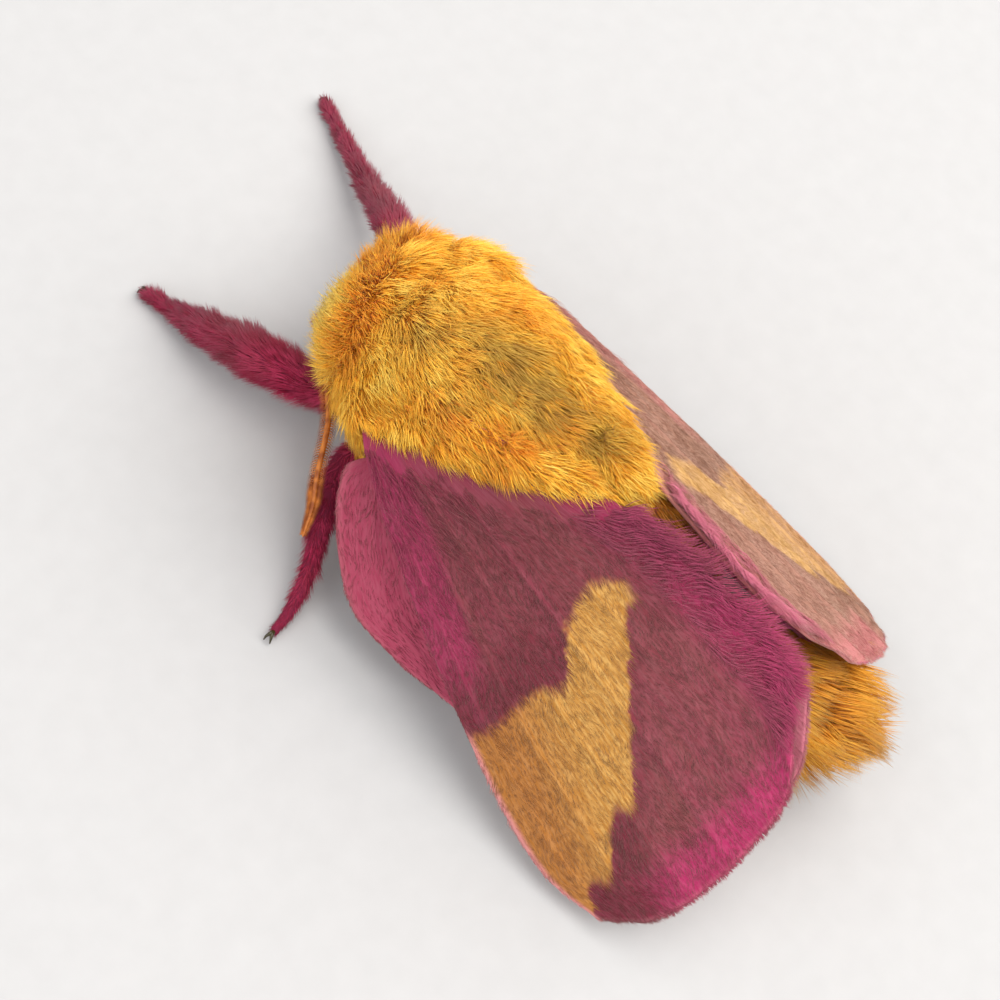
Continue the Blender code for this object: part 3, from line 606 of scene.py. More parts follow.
def fore_colour(finish, flat, edge_map):
    """Colour of the forewing, and the fine streaks."""
    along, inward = frayed(finish, flat)
    column, row = split(finish, edge_map)
    fine, broad = streaks(finish, edge_map)
    ground = finish.mix(finish.ease(broad, *GROUND_PATCHES), ROSE, ROSE_BROWN)
    costal = finish.ease(inward, *COSTA_STRIP)
    outer = finish.ease(row, *OUTER_STRIP)
    inner = finish.ease(column, *INNER_STRIP)
    root = finish.ease(row, *ROOT_STRIP)
    before_band = finish.ease(along, *COSTA_END)
    rosy = finish.math("MAXIMUM", finish.math("MULTIPLY", costal, before_band), outer)
    inner = finish.math("MAXIMUM", inner, finish.math("MULTIPLY", root, ROOT_SHARE))
    ground = finish.mix(finish.math("MAXIMUM", rosy, inner), ground, MAGENTA)
    share, into_band, past_band = band_share(finish, along, inward)
    shade = finish.ease(into_band, *SHADE_ALONG)
    shade = finish.math("MULTIPLY", shade, finish.ease(inward, *SHADE_INWARD))
    shade = finish.math("MULTIPLY", shade, finish.ease(broad, *SHADE_PATCHES))
    ground = finish.mix(finish.math("MULTIPLY", shade, SHADE_SHARE), ground, DEEP_MAROON)
    behind = finish.math("MULTIPLY", finish.ease(past_band, *BEYOND_BAND), BEYOND_SHARE)
    ground = finish.mix(behind, ground, DEEP_MAROON)
    band = finish.mix(finish.ease(fine, *BAND_GRAIN), BAND_YELLOW, BAND_PALE)
    # Painted shade: the band turns darker orange towards the front edge, on the eaves of the roof.
    eaves_shade = finish.math("MULTIPLY", finish.ease(inward, *EAVES_SHADE_STRIP), EAVES_SHADE_SHARE)
    band = finish.mix(eaves_shade, band, BAND_PAINTED_SHADE)
    painted = finish.mix(share, ground, band)
    front_rim = finish.ease(column, *FRONT_RIM)
    front_rim = finish.math("MULTIPLY", front_rim, finish.ease(along, *FRONT_RIM_START))
    outer_rim = finish.math("MULTIPLY", finish.ease(row, *OUTER_RIM), OUTER_RIM_SHARE)
    rim = finish.math("MAXIMUM", front_rim, outer_rim)
    painted = finish.mix(finish.math("MULTIPLY", rim, RIM_SHARE), painted, PALE_PINK)
    return painted, fine


print("outer strip:", round((1.0 - OUTER_STRIP[0]) * WING_LENGTH, 1), "mm wide at most")

# %% Hindwing colours
HIND_PATCHES = (0.3, 0.7)
GREY_ROWS = (0.42, 0.10)
GREY_COLUMNS = (0.05, 0.25)
GREY_SHARE = 0.50
CORNER_COLUMNS = (0.55, 0.85)
CORNER_ROWS = (0.6, 0.9)
CORNER_SHARE = 0.8
HIND_OUTER_RIM = (0.97, 1.0)
HIND_RIM_SHARE = 0.16


def hind_colour(finish, _flat, edge_map):
    """Colour of the hindwing, from its shares alone, and the fine streaks."""
    column, row = split(finish, edge_map)
    fine, broad = streaks(finish, edge_map)
    ground = finish.mix(finish.ease(broad, *HIND_PATCHES), HIND_PINK, HIND_ROSE)
    grey = finish.math(
        "MULTIPLY", finish.ease(row, *GREY_ROWS), finish.ease(column, *GREY_COLUMNS))
    ground = finish.mix(finish.math("MULTIPLY", grey, GREY_SHARE), ground, HIND_GREY)
    corner = finish.math(
        "MULTIPLY", finish.ease(column, *CORNER_COLUMNS), finish.ease(row, *CORNER_ROWS))
    ground = finish.mix(finish.math("MULTIPLY", corner, CORNER_SHARE), ground, HIND_MAUVE)
    rim = finish.math(
        "MAXIMUM", finish.ease(row, *HIND_OUTER_RIM), finish.ease(column, *FRONT_RIM))
    return finish.mix(finish.math("MULTIPLY", rim, HIND_RIM_SHARE), ground, PALE_PINK), fine


print("hindwing's rim:", round(1.0 - HIND_OUTER_RIM[0], 2), "of the rows")

# %% Wing finishes
SCALE_SHEEN = 0.20
SHEEN_PER_PAINTED_SHEEN = 2.0
SHEEN_ROUGHNESS = 0.5
SHEEN_TINT = colour(255, 214, 190)
DARK_SCALE, DARK_SHARE = (0.02, 0.005, 0.01, 1.0), 0.07
LIGHT_SCALE, LIGHT_SHARE = (1.0, 0.85, 0.85, 1.0), 0.03
TIP_SCALE, TIP_PALENESS = (1.0, 0.85, 0.84, 1.0), 0.08
TIP_SHARE = 0.20
SCALE_GRAIN = (0.3, 0.7)
SCALE_BUMP = (0.35, 0.00008)


def wing_finish(name, paint, with_tips, bloom=0.0):
    """Scales on a wing; tufts are paler at their tips, and the last argument mixes in a painted
    sheen of pale cream.
    """
    finish = Finish(name, roughness=0.62, specular=0.25)
    finish.shader.inputs["Sheen Weight"].default_value = SCALE_SHEEN + SHEEN_PER_PAINTED_SHEEN * bloom
    finish.shader.inputs["Sheen Roughness"].default_value = SHEEN_ROUGHNESS
    finish.shader.inputs["Sheen Tint"].default_value = SHEEN_TINT
    painted, fine = paint(finish, finish.map("WingPlan"), finish.map("WingEdge"))
    dark = finish.mix(DARK_SHARE, painted, DARK_SCALE)
    light = finish.mix(LIGHT_SHARE, painted, LIGHT_SCALE)
    if with_tips:
        shown = finish.mix(finish.attribute("Tone"), dark, light)
        tips = finish.math("MULTIPLY", finish.attribute("Tip"), TIP_SHARE)
        shown = finish.mix(tips, shown, finish.mix(TIP_PALENESS, painted, TIP_SCALE))
        # Pale pink hair: partly the fringe's own colour, and on the right wing mostly painted light
        # on its lit ridge and margins.
        shown = finish.mix(finish.attribute("Mark"), shown, RIDGE_PINK)
    else:
        shown = finish.mix(finish.ease(fine, *SCALE_GRAIN), dark, light)
        finish.bump(fine, *SCALE_BUMP)
    # Painted sheen: a pale cream mixed into the colour of the right forewing, which reflects the
    # light.
    if bloom:
        shown = finish.mix(bloom, shown, PAINTED_SHEEN_CREAM)
    return finish.colour(shown)


# The right forewing's painted sheen: its cream colour, and how much of it is mixed in.
PAINTED_SHEEN_CREAM = colour(255, 224, 158)
RIGHT_PAINTED_SHEEN = 0.15
FORE_FINISH = wing_finish("forewing_scales", fore_colour, False)
FORE_TUFT_FINISH = wing_finish("forewing_hairs", fore_colour, True)
RIGHT_FINISH = wing_finish("right_forewing_scales", fore_colour, False, RIGHT_PAINTED_SHEEN)
RIGHT_TUFT_FINISH = wing_finish("right_forewing_hairs", fore_colour, True, RIGHT_PAINTED_SHEEN)
HIND_FINISH = wing_finish("hindwing_scales", hind_colour, False)
HIND_TUFT_FINISH = wing_finish("hindwing_hairs", hind_colour, True)


def finish_of(wing, with_tips):
    """The finish for a wing or for its tufts."""
    if not wing.is_fore:
        return HIND_TUFT_FINISH if with_tips else HIND_FINISH
    if wing.side == "left":
        return FORE_TUFT_FINISH if with_tips else FORE_FINISH
    return RIGHT_TUFT_FINISH if with_tips else RIGHT_FINISH


print("wing finishes:", FORE_FINISH.name, RIGHT_FINISH.name, HIND_FINISH.name)

# %% [markdown]
# ## The wings
# A real wing is a membrane far thinner than paper over a fan of stiff veins. Here each one starts
# as a flat grid, whose points are laid on the roof and lifted along the veins. A Solidify
# modifier then gives the sheet its thickness. The grid keeps two maps: the flat wing for the
# markings, and shares from edge to edge for the streaks.

# %% Wings
WING_COLUMNS = 110
WING_ROWS = 90
WING_TOP = 0.17
WING_THICKNESS = 0.14
ROW_POWER = 0.9
VEIN_HEIGHT = 0.07
VEIN_WIDTH = 0.012
VEIN_RISE = 0.3
VEIN_END, VEIN_FADE = 1.02, 0.12
MARGIN_WAVE = 0.05
MARGIN_TURNS = 38.0


def relief(wing, column, row):
    """Height of the veins, and of the slight waves near the margin."""
    height = np.zeros(len(column))
    for vein in wing.veins:
        height += VEIN_HEIGHT * np.exp(-((column - vein) / VEIN_WIDTH) ** 2)
    height *= np.clip(np.minimum(row / VEIN_RISE, (VEIN_END - row) / VEIN_FADE), 0.0, 1.0)
    return height + MARGIN_WAVE * np.sin(column * MARGIN_TURNS) * row ** 5


def add_map(mesh, name, values):
    """A UV map from one pair of numbers for each vertex."""
    layer = mesh.uv_layers.new(name=name)
    corners = np.zeros(len(mesh.loops), np.int32)
    mesh.loops.foreach_get("vertex_index", corners)
    layer.data.foreach_set("uv", values[corners].astype(np.float32).ravel())


def apply_modifier(thing, kind, **settings):
    bpy.ops.object.select_all(action="DESELECT")
    thing.select_set(True)
    bpy.context.view_layer.objects.active = thing
    bpy.ops.object.modifier_add(type=kind)
    modifier = thing.modifiers[-1]
    for key, value in settings.items():
        setattr(modifier, key, value)
    bpy.ops.object.modifier_apply(modifier=modifier.name)


def wing_maps(wing, column, row):
    """The flat place in wing lengths, and the shares, of each point."""
    flat = wing.flat(column, row)
    if not wing.is_fore:
        flat = flat / WING_LENGTH
    return flat, np.stack((column, row), axis=-1)


def build_wing(wing):
    bpy.ops.object.select_all(action="DESELECT")
    bpy.ops.mesh.primitive_grid_add(x_subdivisions=WING_COLUMNS, y_subdivisions=WING_ROWS, size=2.0)
    thing = bpy.context.object
    thing.name = "wing_" + wing.name
    mesh = thing.data
    start = np.zeros(len(mesh.vertices) * 3, np.float32)
    mesh.vertices.foreach_get("co", start)
    start = start.reshape(-1, 3)
    column = (1.0 - start[:, 0] * wing.pair.side) / 2
    row = ((start[:, 1] + 1.0) / 2) ** ROW_POWER
    points, _ = wing.points(column, row, WING_TOP + relief(wing, column, row))
    mesh.vertices.foreach_set("co", to_world(points).astype(np.float32).ravel())
    while mesh.uv_layers:
        mesh.uv_layers.remove(mesh.uv_layers[0])
    flat, shares = wing_maps(wing, column, row)
    add_map(mesh, "WingPlan", flat)
    add_map(mesh, "WingEdge", shares)
    mesh.update()
    apply_modifier(thing, "SOLIDIFY", thickness=WING_THICKNESS * MM, offset=-1.0)
    bpy.ops.object.shade_smooth()
    mesh.materials.append(finish_of(wing, False))
    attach(thing, "root")
    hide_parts(wing.name)
    return thing


wing_objects = {wing.name: build_wing(wing) for wing in WINGS}
print("wing triangles:", 2 * sum(len(thing.data.polygons) for thing in wing_objects.values()))

# %% [markdown]
# ## Heights of the wings
# Hair that grows on the thorax drapes over the roots of the wings. To lay it there, the script
# looks straight down on the wings through a fine grid and notes how high they are.

# %% Heights of the wings
PLAN_LOW = np.array((-7.5, -8.0))
PLAN_HIGH = np.array((7.5, 13.0))
PLAN_STEP = 0.15
PLAN_VIEW = 15.0
NO_WING = -100.0
RIDGE_HALF = 0.8
RIDGE_ROUNDS = 5


def wing_tree():
    verts, faces = [], []
    for thing in wing_objects.values():
        offset = len(verts)
        verts += [vertex.co[:] for vertex in thing.data.vertices]
        faces += [[offset + index for index in face.vertices] for face in thing.data.polygons]
    return BVHTree.FromPolygons(verts, faces)


def height_grid(tree):
    """Heights of the highest wing above each point of the plan, in mm."""
    counts = ((PLAN_HIGH - PLAN_LOW) / PLAN_STEP).astype(int) + 1
    heights = np.full(counts, NO_WING)
    down = Vector((0.0, 0.0, -1.0))
    for out in range(counts[0]):
        for back in range(counts[1]):
            start = to_world((*(PLAN_LOW + PLAN_STEP * np.array((out, back))), PLAN_VIEW))
            found = tree.ray_cast(Vector(start), down)[0]
            if found is not None:
                heights[out, back] = found.z / MM
    return heights


def close_ridge(heights):
    """Fill the narrow gap between the two sides from its neighbours."""
    near_middle = np.abs(np.arange(len(heights)) * PLAN_STEP + PLAN_LOW[0]) < RIDGE_HALF
    for _ in range(RIDGE_ROUNDS):
        sides = np.maximum(np.roll(heights, 1, axis=0), np.roll(heights, -1, axis=0))
        empty = (heights == NO_WING) & near_middle[:, None]
        heights = np.where(empty, sides, heights)
    return heights


wing_heights = close_ridge(height_grid(wing_tree()))


def wing_top(x, y):
    """Height of the wings at points of the plan, or NO_WING beside them."""
    spot = (np.stack((x, y), axis=-1) - PLAN_LOW) / PLAN_STEP
    spot = np.clip(spot, 0.0, np.array(wing_heights.shape) - 1.001)
    low = spot.astype(int)
    t = spot - low
    corners = [wing_heights[low[..., 0] + a, low[..., 1] + b] for a in (0, 1) for b in (0, 1)]
    weights = [
        (a + (1 - 2 * a) * (1 - t[..., 0])) * (b + (1 - 2 * b) * (1 - t[..., 1]))
        for a in (0, 1) for b in (0, 1)]
    height = sum(corner * weight for corner, weight in zip(corners, weights))
    return np.where(np.min(corners, axis=0) == NO_WING, np.max(corners, axis=0), height)


print("highest wing point in mm:", round(float(wing_heights.max()), 2))

# %% [markdown]
# ## The skin
# Under its coat the moth is one soft body: a big thorax with a collar in front, a small head, an
# abdomen and six legs. Balls and tapered tubes are laid where the solids have these parts, each a
# coat's depth inside them, and a voxel remesh fuses them into one skin without seams. A thin pad
# over the roots of the wings carries the hair that covers them.

# %% Parts of the skin
BALL_SIZES = {
    "thorax": ((-0.2, 0.46, 5.46), (4.05, 6.3, 4.2)),
    "collar": ((-0.28, -4.15, 5.65), (3.08, 1.75, 3.0)),
    "shoulder": ((-1.75, -4.6, 5.9), (1.7, 1.6, 2.25)),
    "side": ((-2.45, -2.55, 6.2), (2.0, 2.6, 2.42)),
    "head": ((0.0, -5.15, 3.9), (1.4, 1.2, 1.25)),
    "keel": ((-0.4, 8.4, 7.0), (0.75, 3.2, 2.6)),
    "tail": ((-1.85, 16.4, 3.75), (1.65, 1.5, 1.3)),
}
BALLS = {name: (np.array(centre), np.array(size)) for name, (centre, size) in BALL_SIZES.items()}
FLUFFY = ("thorax", "collar", "shoulder", "side")
ABDOMEN_PATH = (
    (0.0, 4.6, 4.6), (0.0, 8.5, 4.2), (-0.4, 12.0, 4.1), (-1.35, 15.1, 4.0), (-1.95, 16.9, 3.6))
ABDOMEN_RADII = (1.6, 2.0, 1.95, 1.7, 0.8)
PALP_PATH = ((0.45, -5.8, 3.1), (0.5, -6.5, 3.0), (0.55, -6.95, 3.35))
PALP_RADII = (0.25, 0.28, 0.14)
FRONT_LEFT_RADII = (0.50, 0.66, 0.84, 0.64, 0.33, 0.25)
FRONT_RIGHT_RADII = (0.50, 0.62, 0.62, 0.44, 0.29, 0.24)
REAR_RADII = (0.40, 0.44, 0.42, 0.32, 0.25, 0.19)
LEG_PATHS = {
    "front_left": (
        (1.3, -3.2, 3.0), (2.3, -5.0, 2.2), (3.0, -7.4, 2.0), (3.4, -9.8, 1.3), (3.6, -11.8, 0.6),
        (3.8, -13.3, 0.27)),
    "front_right": (
        (-1.3, -3.2, 3.0), (-2.7, -5.2, 2.6), (-4.9, -8.2, 2.5), (-6.3, -10.8, 1.3),
        (-7.6, -13.7, 0.6), (-8.55, -15.9, 0.27)),
    "middle_left": (
        (1.6, -1.0, 2.7), (3.7, -2.0, 2.6), (5.8, -0.9, 2.0), (7.7, 0.3, 1.1), (9.0, 0.8, 0.45),
        (10.0, 1.0, 0.27)),
    "middle_right": (
        (-1.6, -1.0, 2.7), (-3.4, -1.5, 2.5), (-4.8, -0.6, 1.8), (-6.0, 0.3, 0.9),
        (-6.8, 0.8, 0.4), (-7.4, 1.0, 0.27)),
    "hind_left": (
        (1.6, 2.2, 2.8), (3.3, 4.0, 2.5), (4.5, 6.0, 1.8), (5.1, 8.2, 0.9), (5.3, 9.6, 0.4),
        (5.4, 10.5, 0.27)),
    "hind_right": (
        (-1.6, 2.2, 2.8), (-3.3, 4.0, 2.5), (-4.5, 6.0, 1.8), (-5.1, 8.2, 0.9), (-5.3, 9.6, 0.4),
        (-5.4, 10.5, 0.27)),
}
THINNEST = 0.05
TUBE_STEPS = 40


def tube_of(path, radii):
    """A smooth path with a radius for each step."""
    line = smooth_line(path, TUBE_STEPS)
    widths = smooth_line(np.array(radii)[:, None], TUBE_STEPS)[:, 0]
    return line, np.maximum(widths, THINNEST)


TUBES = {"abdomen": tube_of(ABDOMEN_PATH, ABDOMEN_RADII)}
LEG_RADII = {"front_left": FRONT_LEFT_RADII, "front_right": FRONT_RIGHT_RADII}
for leg_name, leg_path in LEG_PATHS.items():
    TUBES["leg_" + leg_name] = tube_of(leg_path, LEG_RADII.get(leg_name, REAR_RADII))
for side_name, side in (("left", 1.0), ("right", -1.0)):
    TUBES["palp_" + side_name] = tube_of(np.array(PALP_PATH) * (side, 1.0, 1.0), PALP_RADII)
print("skin parts:", [*BALLS, *TUBES])

# %% Balls and tubes
def add_ball(place, size, segments, rings):
    """A ball from its place and its three half sizes, in metres."""
    bpy.ops.object.select_all(action="DESELECT")
    bpy.ops.mesh.primitive_uv_sphere_add(
        segments=segments, ring_count=rings, radius=1.0, location=place, scale=size)
    bpy.ops.object.transform_apply(location=True, rotation=True, scale=True)
    return bpy.context.object


def add_tube(line, widths, roundness=6):
    """A round tube along a line, from a curve with a bevel."""
    bpy.ops.object.select_all(action="DESELECT")
    bpy.ops.curve.primitive_nurbs_path_add()
    curve = bpy.context.object
    curve.data.splines.clear()
    spline = curve.data.splines.new("POLY")
    spline.points.add(len(line) - 1)
    for point, place, width in zip(spline.points, to_world(line), widths):
        point.co = (*place, 1.0)
        point.radius = width
    curve.data.bevel_depth = MM
    curve.data.bevel_resolution = roundness
    curve.data.use_fill_caps = True
    bpy.ops.object.convert(target="MESH")
    return bpy.context.object


print("balls:", len(BALLS), "tubes:", len(TUBES))

# %% Pad over the wing roots
SADDLE_START = -2.0
SADDLE_LENGTH = 9.5
SADDLE_WIDTH = 3.95
SADDLE_ROUNDNESS = 1.6
PAD_HEIGHT = 0.16
PAD_POWER = 2.5
PAD_LOWEST = 6.2
CREST_HEIGHT = 9.6
CREST_START = 0.5
PAD_FANS = 60
PAD_RINGS = 24
PAD_START = 1.5
PAD_THICKNESS = 0.55
PAD_ROOM = 0.03
CREST_SIDE_FALL = 0.22
CREST_FRONT_FALL = 0.035
CREST_HUMP = 0.2
HUMP_START, HUMP_REACH = 3.0, 3.0
CREST_RIM_FALL = 0.25


def ball_top(part, x, y):
    centre, size = part
    inside = 1.0 - ((x - centre[0]) / size[0]) ** 2 - ((y - centre[1]) / size[1]) ** 2
    return np.where(inside > 0, centre[2] + size[2] * np.sqrt(np.maximum(inside, 0.0)), NO_WING)


def pad_top(x, y, share):
    """Height of the pad: over the wings, the thorax or its crest, whichever is highest."""
    over_wing = wing_top(x, y) + PAD_HEIGHT * (1.0 - share ** PAD_POWER) + PAD_ROOM
    crest = CREST_HEIGHT - CREST_SIDE_FALL * x ** 2
    crest -= CREST_FRONT_FALL * np.maximum(CREST_START - y, 0.0) ** 2
    hump = np.clip((y - HUMP_START) / HUMP_REACH, 0.0, 1.0)
    crest += CREST_HUMP * hump - CREST_RIM_FALL * share ** 6
    heights = (over_wing, ball_top(BALLS["thorax"], x, y), crest, np.full(len(x), PAD_LOWEST))
    return np.max(heights, axis=0)


def join_triangles(name, points, triangles):
    """A mesh object from arrays of points and triangles."""
    mesh = bpy.data.meshes.new(name)
    mesh.vertices.add(len(points))
    mesh.vertices.foreach_set("co", to_world(points).astype(np.float32).ravel())
    mesh.loops.add(triangles.size)
    mesh.loops.foreach_set("vertex_index", triangles.astype(np.int32).ravel())
    mesh.polygons.add(len(triangles))
    mesh.polygons.foreach_set("loop_start", np.arange(0, triangles.size, 3, dtype=np.int32))
    mesh.polygons.foreach_set("use_smooth", np.ones(len(triangles), bool))
    mesh.update(calc_edges=True)
    thing = bpy.data.objects.new(name, mesh)
    bpy.context.scene.collection.objects.link(thing)
    return thing


def square_halves(a, b, step):
    """Two triangles for each square between two rows of corners."""
    halves = ((a, a + step, b + step), (a, b + step, b))
    return np.concatenate([np.stack(half, axis=-1) for half in halves])


def add_pad():
    """A closed pad over the wing roots: rings of points from its middle to its outline, twice."""
    fan = np.linspace(-math.pi / 2, math.pi / 2, PAD_FANS)
    fan = np.concatenate((fan, math.pi - fan[1:-1][::-1]))
    out = SADDLE_WIDTH * np.abs(np.sin(fan)) ** SADDLE_ROUNDNESS * np.sign(np.sin(fan))
    along = np.cos(fan)
    along = np.where(along > 0, along * SADDLE_LENGTH, along * PAD_START)
    shares = np.linspace(0.0, 1.0, PAD_RINGS + 1)[1:]
    x = np.concatenate([[0.0]] + [out * share for share in shares])
    y = np.concatenate([[0.0]] + [along * share for share in shares]) + SADDLE_START
    share = np.concatenate([[0.0]] + [np.full(len(fan), value) for value in shares])
    height = pad_top(x, y, share)
    top = np.stack((x, y, height), axis=-1)
    bottom = top - np.array((0.0, 0.0, PAD_THICKNESS))
    count, around = len(top), len(fan)
    first, second = np.arange(around), (np.arange(around) + 1) % around
    faces = [np.stack((np.zeros(around, int), first + 1, second + 1), axis=-1)]
    for ring in range(PAD_RINGS - 1):
        start = 1 + ring * around
        faces.append(square_halves(first + start, second + start, around))
    sheet = np.concatenate(faces)
    last = 1 + (PAD_RINGS - 1) * around
    wall = square_halves(first + last, second + last, count)
    triangles = np.concatenate((sheet, sheet[:, ::-1] + count, wall))
    return join_triangles("pad", np.concatenate((top, bottom)), triangles)


print("pad:", 2 * SADDLE_WIDTH, "mm wide")

# %% Build the skin
BALL_SEGMENTS, BALL_RINGS = 64, 40
SKIN_VOXEL = 0.12
SKIN_SMOOTHING = 5


def join_pieces(name, pieces):
    """One object from several, by the operator that joins what is selected."""
    bpy.ops.object.select_all(action="DESELECT")
    for piece in pieces:
        piece.select_set(True)
    bpy.context.view_layer.objects.active = pieces[0]
    bpy.ops.object.join()
    joined = bpy.context.object
    joined.name = name
    return joined


def build_skin():
    pieces = [
        add_ball(to_world(centre), size * MM, BALL_SEGMENTS, BALL_RINGS)
        for centre, size in BALLS.values()]
    pieces += [add_tube(*tube) for tube in TUBES.values()]
    pieces.append(add_pad())
    skin = join_pieces("skin", pieces)
    bpy.ops.object.mode_set(mode="EDIT")
    bpy.ops.mesh.select_all(action="SELECT")
    bpy.ops.mesh.normals_make_consistent(inside=False)
    bpy.ops.object.mode_set(mode="OBJECT")
    apply_modifier(skin, "REMESH", mode="VOXEL", voxel_size=SKIN_VOXEL * MM)
    apply_modifier(skin, "SMOOTH", factor=0.5, iterations=SKIN_SMOOTHING)
    bpy.ops.object.shade_smooth()
    return skin


skin = build_skin()
print("skin faces:", len(skin.data.polygons))

# %% [markdown]
# ## Where hair grows
# Hair grows at random places of the skin, more of them where the skin is larger. For each place
# the script finds the part of the body that it belongs to, because length and lie differ from
# part to part.

# %% Where hair grows
PAD_REAR = 7.8
PAD_FOOT = 8.4
MOST_PLACES = 60000

draw = np.random.default_rng(29)


def skin_arrays():
    mesh = skin.data
    mesh.calc_loop_triangles()
    corners = np.zeros(len(mesh.loop_triangles) * 3, np.int32)
    mesh.loop_triangles.foreach_get("vertices", corners)
    points = np.zeros(len(mesh.vertices) * 3, np.float32)
    mesh.vertices.foreach_get("co", points)
    normals = np.zeros(len(mesh.vertices) * 3, np.float32)
    mesh.vertex_normals.foreach_get("vector", normals)
    return points.reshape(-1, 3) / MM - origin, normals.reshape(-1, 3), corners.reshape(-1, 3)


skin_points, skin_normals, skin_triangles = skin_arrays()


def ball_distance(part, points):
    centre, size = part
    reach = np.linalg.norm((points - centre) / size, axis=-1)
    return (reach - 1.0) * size.min()


def tube_distance(tube, points):
    """Distance from a tube's surface, and the share of the way along it."""
    line, widths = tube
    gaps = np.linalg.norm(points[:, None] - line[None], axis=-1) - widths
    nearest = gaps.argmin(axis=1)
    return gaps[np.arange(len(points)), nearest], nearest / (len(line) - 1)


def part_of(points):
    """The name of the nearest part, and the share along it where it is a tube."""
    names = [*BALLS, *TUBES]
    distances = [ball_distance(part, points) for part in BALLS.values()]
    shares = [np.zeros(len(points)) for _ in BALLS]
    for tube in TUBES.values():
        distance, share = tube_distance(tube, points)
        distances.append(distance)
        shares.append(share)
    nearest = np.argmin(distances, axis=0)
    return np.array(names)[nearest], np.array(shares)[nearest, np.arange(len(points))]


middles = skin_points[skin_triangles].mean(axis=1)
middle_parts, middle_shares = part_of(middles)
on_pad = (middle_parts == "keel") & (middles[:, 1] < PAD_REAR) & (middles[:, 2] > PAD_FOOT)
middle_parts[on_pad] = "thorax"
edge_one = skin_points[skin_triangles[:, 1]] - skin_points[skin_triangles[:, 0]]
edge_two = skin_points[skin_triangles[:, 2]] - skin_points[skin_triangles[:, 0]]
areas = np.linalg.norm(np.cross(edge_one, edge_two), axis=-1) / 2


def grow_places(chosen, density, limit=MOST_PLACES):
    """Random places and normals on the chosen triangles, so many for each square millimetre."""
    weight = areas * chosen * density
    count = min(int(weight.sum()), limit)
    picked = draw.choice(len(areas), count, p=weight / weight.sum())
    mix = draw.dirichlet((1.0, 1.0, 1.0), count)[:, :, None]
    corners = skin_triangles[picked]
    points = (skin_points[corners] * mix).sum(axis=1)
    normals = unit((skin_normals[corners] * mix).sum(axis=1))
    return points, normals, middle_shares[picked]


print("skin area in square mm:", round(float(areas.sum())))

# %% [markdown]
# ## A tuft
# Each tuft is a thin, closed, three-sided blade of one or two rings that ends in a point; with
# two it bends on the way. Tens of thousands of them are written into one mesh at once, from
# arrays, because operators would take hours for as many. A tuft's OFBake patch sits at its root's
# place on the unwrapped skin. Three attributes tell the finish how far along the tuft a point is
# (Tip), how light the tuft is (Tone), and how much of a second colour it takes (the third). Tone
# also carries painted shade in the thorax's crease and painted light on the legs' upper side; the
# second colour is a real mark on some coats, and painted light and shade on others.

# %% Tufts
PATCH = 0.003
RING_WIDTHS = {1: (1.0,), 2: (0.8, 1.0)}
BLADE_THICKNESS = 0.40
MOST_TUFTS = {1: 48000, 2: 19000}


def blade_triangles(rings):
    """Corners of one blade: the cap at its root, its sides and its tip."""
    faces = [(0, 2, 1)]
    for ring in range(rings - 1):
        for edge in range(3):
            a, b = 3 * ring + edge, 3 * ring + (edge + 1) % 3
            faces += [(a, b, b + 3), (a, b + 3, a + 3)]
    last = 3 * (rings - 1)
    faces += [(last + edge, last + (edge + 1) % 3, last + 3) for edge in range(3)]
    return np.array(faces)


def blade_points(paths, sides, ups, widths):
    """Points of all blades: three for each ring and one tip, in that order."""
    rings = paths.shape[1] - 1
    points = []
    for ring, share in zip(range(rings), RING_WIDTHS[rings]):
        half = (widths * share / 2)[:, None]
        middle = paths[:, ring]
        ridge = middle + ups * half * 2 * BLADE_THICKNESS
        points += [middle - sides * half, ridge, middle + sides * half]
    points.append(paths[:, -1])
    return np.stack(points, axis=1)


def add_attribute(mesh, name, values):
    """One number for each vertex, for a finish to read."""
    attribute = mesh.attributes.new(name, "FLOAT", "POINT")
    attribute.data.foreach_set("value", values.astype(np.float32))


def build_tufts(name, coat, finish, maps=()):
    """One piece from a coat's arrays, or several where it has too many tufts for one."""
    rings = coat["paths"].shape[1] - 1
    count = len(coat["paths"])
    parts = max(1, math.ceil(count / MOST_TUFTS[rings]))
    order = np.argsort(coat["paths"][:, 0, 1])
    built = []
    for index, chosen in enumerate(np.array_split(order, parts)):
        part_name = name if parts == 1 else f"{name}_{index + 1}"
        part = {key: values[chosen] for key, values in coat.items()}
        built.append(build_part(part_name, part, rings, finish, maps))
    print(name, count, "tufts,", count * len(blade_triangles(rings)), "triangles")
    return built


def build_part(name, part, rings, finish, maps=()):
    points = blade_points(part["paths"], part["sides"], part["ups"], part["widths"])
    count, corner_count = points.shape[:2]
    triangles = blade_triangles(rings)[None] + (np.arange(count) * corner_count)[:, None, None]
    thing = join_triangles(name, points.reshape(-1, 3), triangles.reshape(-1, 3))
    mesh = thing.data
    ring_shares = np.repeat(np.arange(rings + 1) / rings, (3,) * rings + (1,))
    across = np.array((-0.5, 0.0, 0.5) * rings + (0.0,))
    patch = np.stack((across, ring_shares - 0.5), axis=-1) * PATCH
    add_map(mesh, "OFBake", (part["bake"][:, None, :] + patch).reshape(-1, 2))
    for key in maps:
        add_map(mesh, key, np.repeat(part[key], corner_count, axis=0))
    add_attribute(mesh, "Tip", np.tile(ring_shares, count))
    for key in ("Tone", "Mark"):
        add_attribute(mesh, key, np.repeat(part[key], corner_count))
    mesh.materials.append(finish)
    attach(thing, "root")
    return thing


print("a tuft has", len(blade_triangles(1)), "or", len(blade_triangles(2)), "triangles")

# %% [markdown]
# ## Combing
# A comb turns places on the skin into the paths of tufts. A tuft rises at one angle and lies down
# at another. Neighbours turn together, and lean towards the leader of their small clump and of
# their larger lock, as hair does that has been stroked. Where a path would cross a wing, it is
# laid on top of it or pressed under it.

# %% Clumps
WAVES = 7
WAVE_GAIN = 0.7
WAVE_SPREAD = (0.6, 1.5)
LOCK_CLUMPS = 9


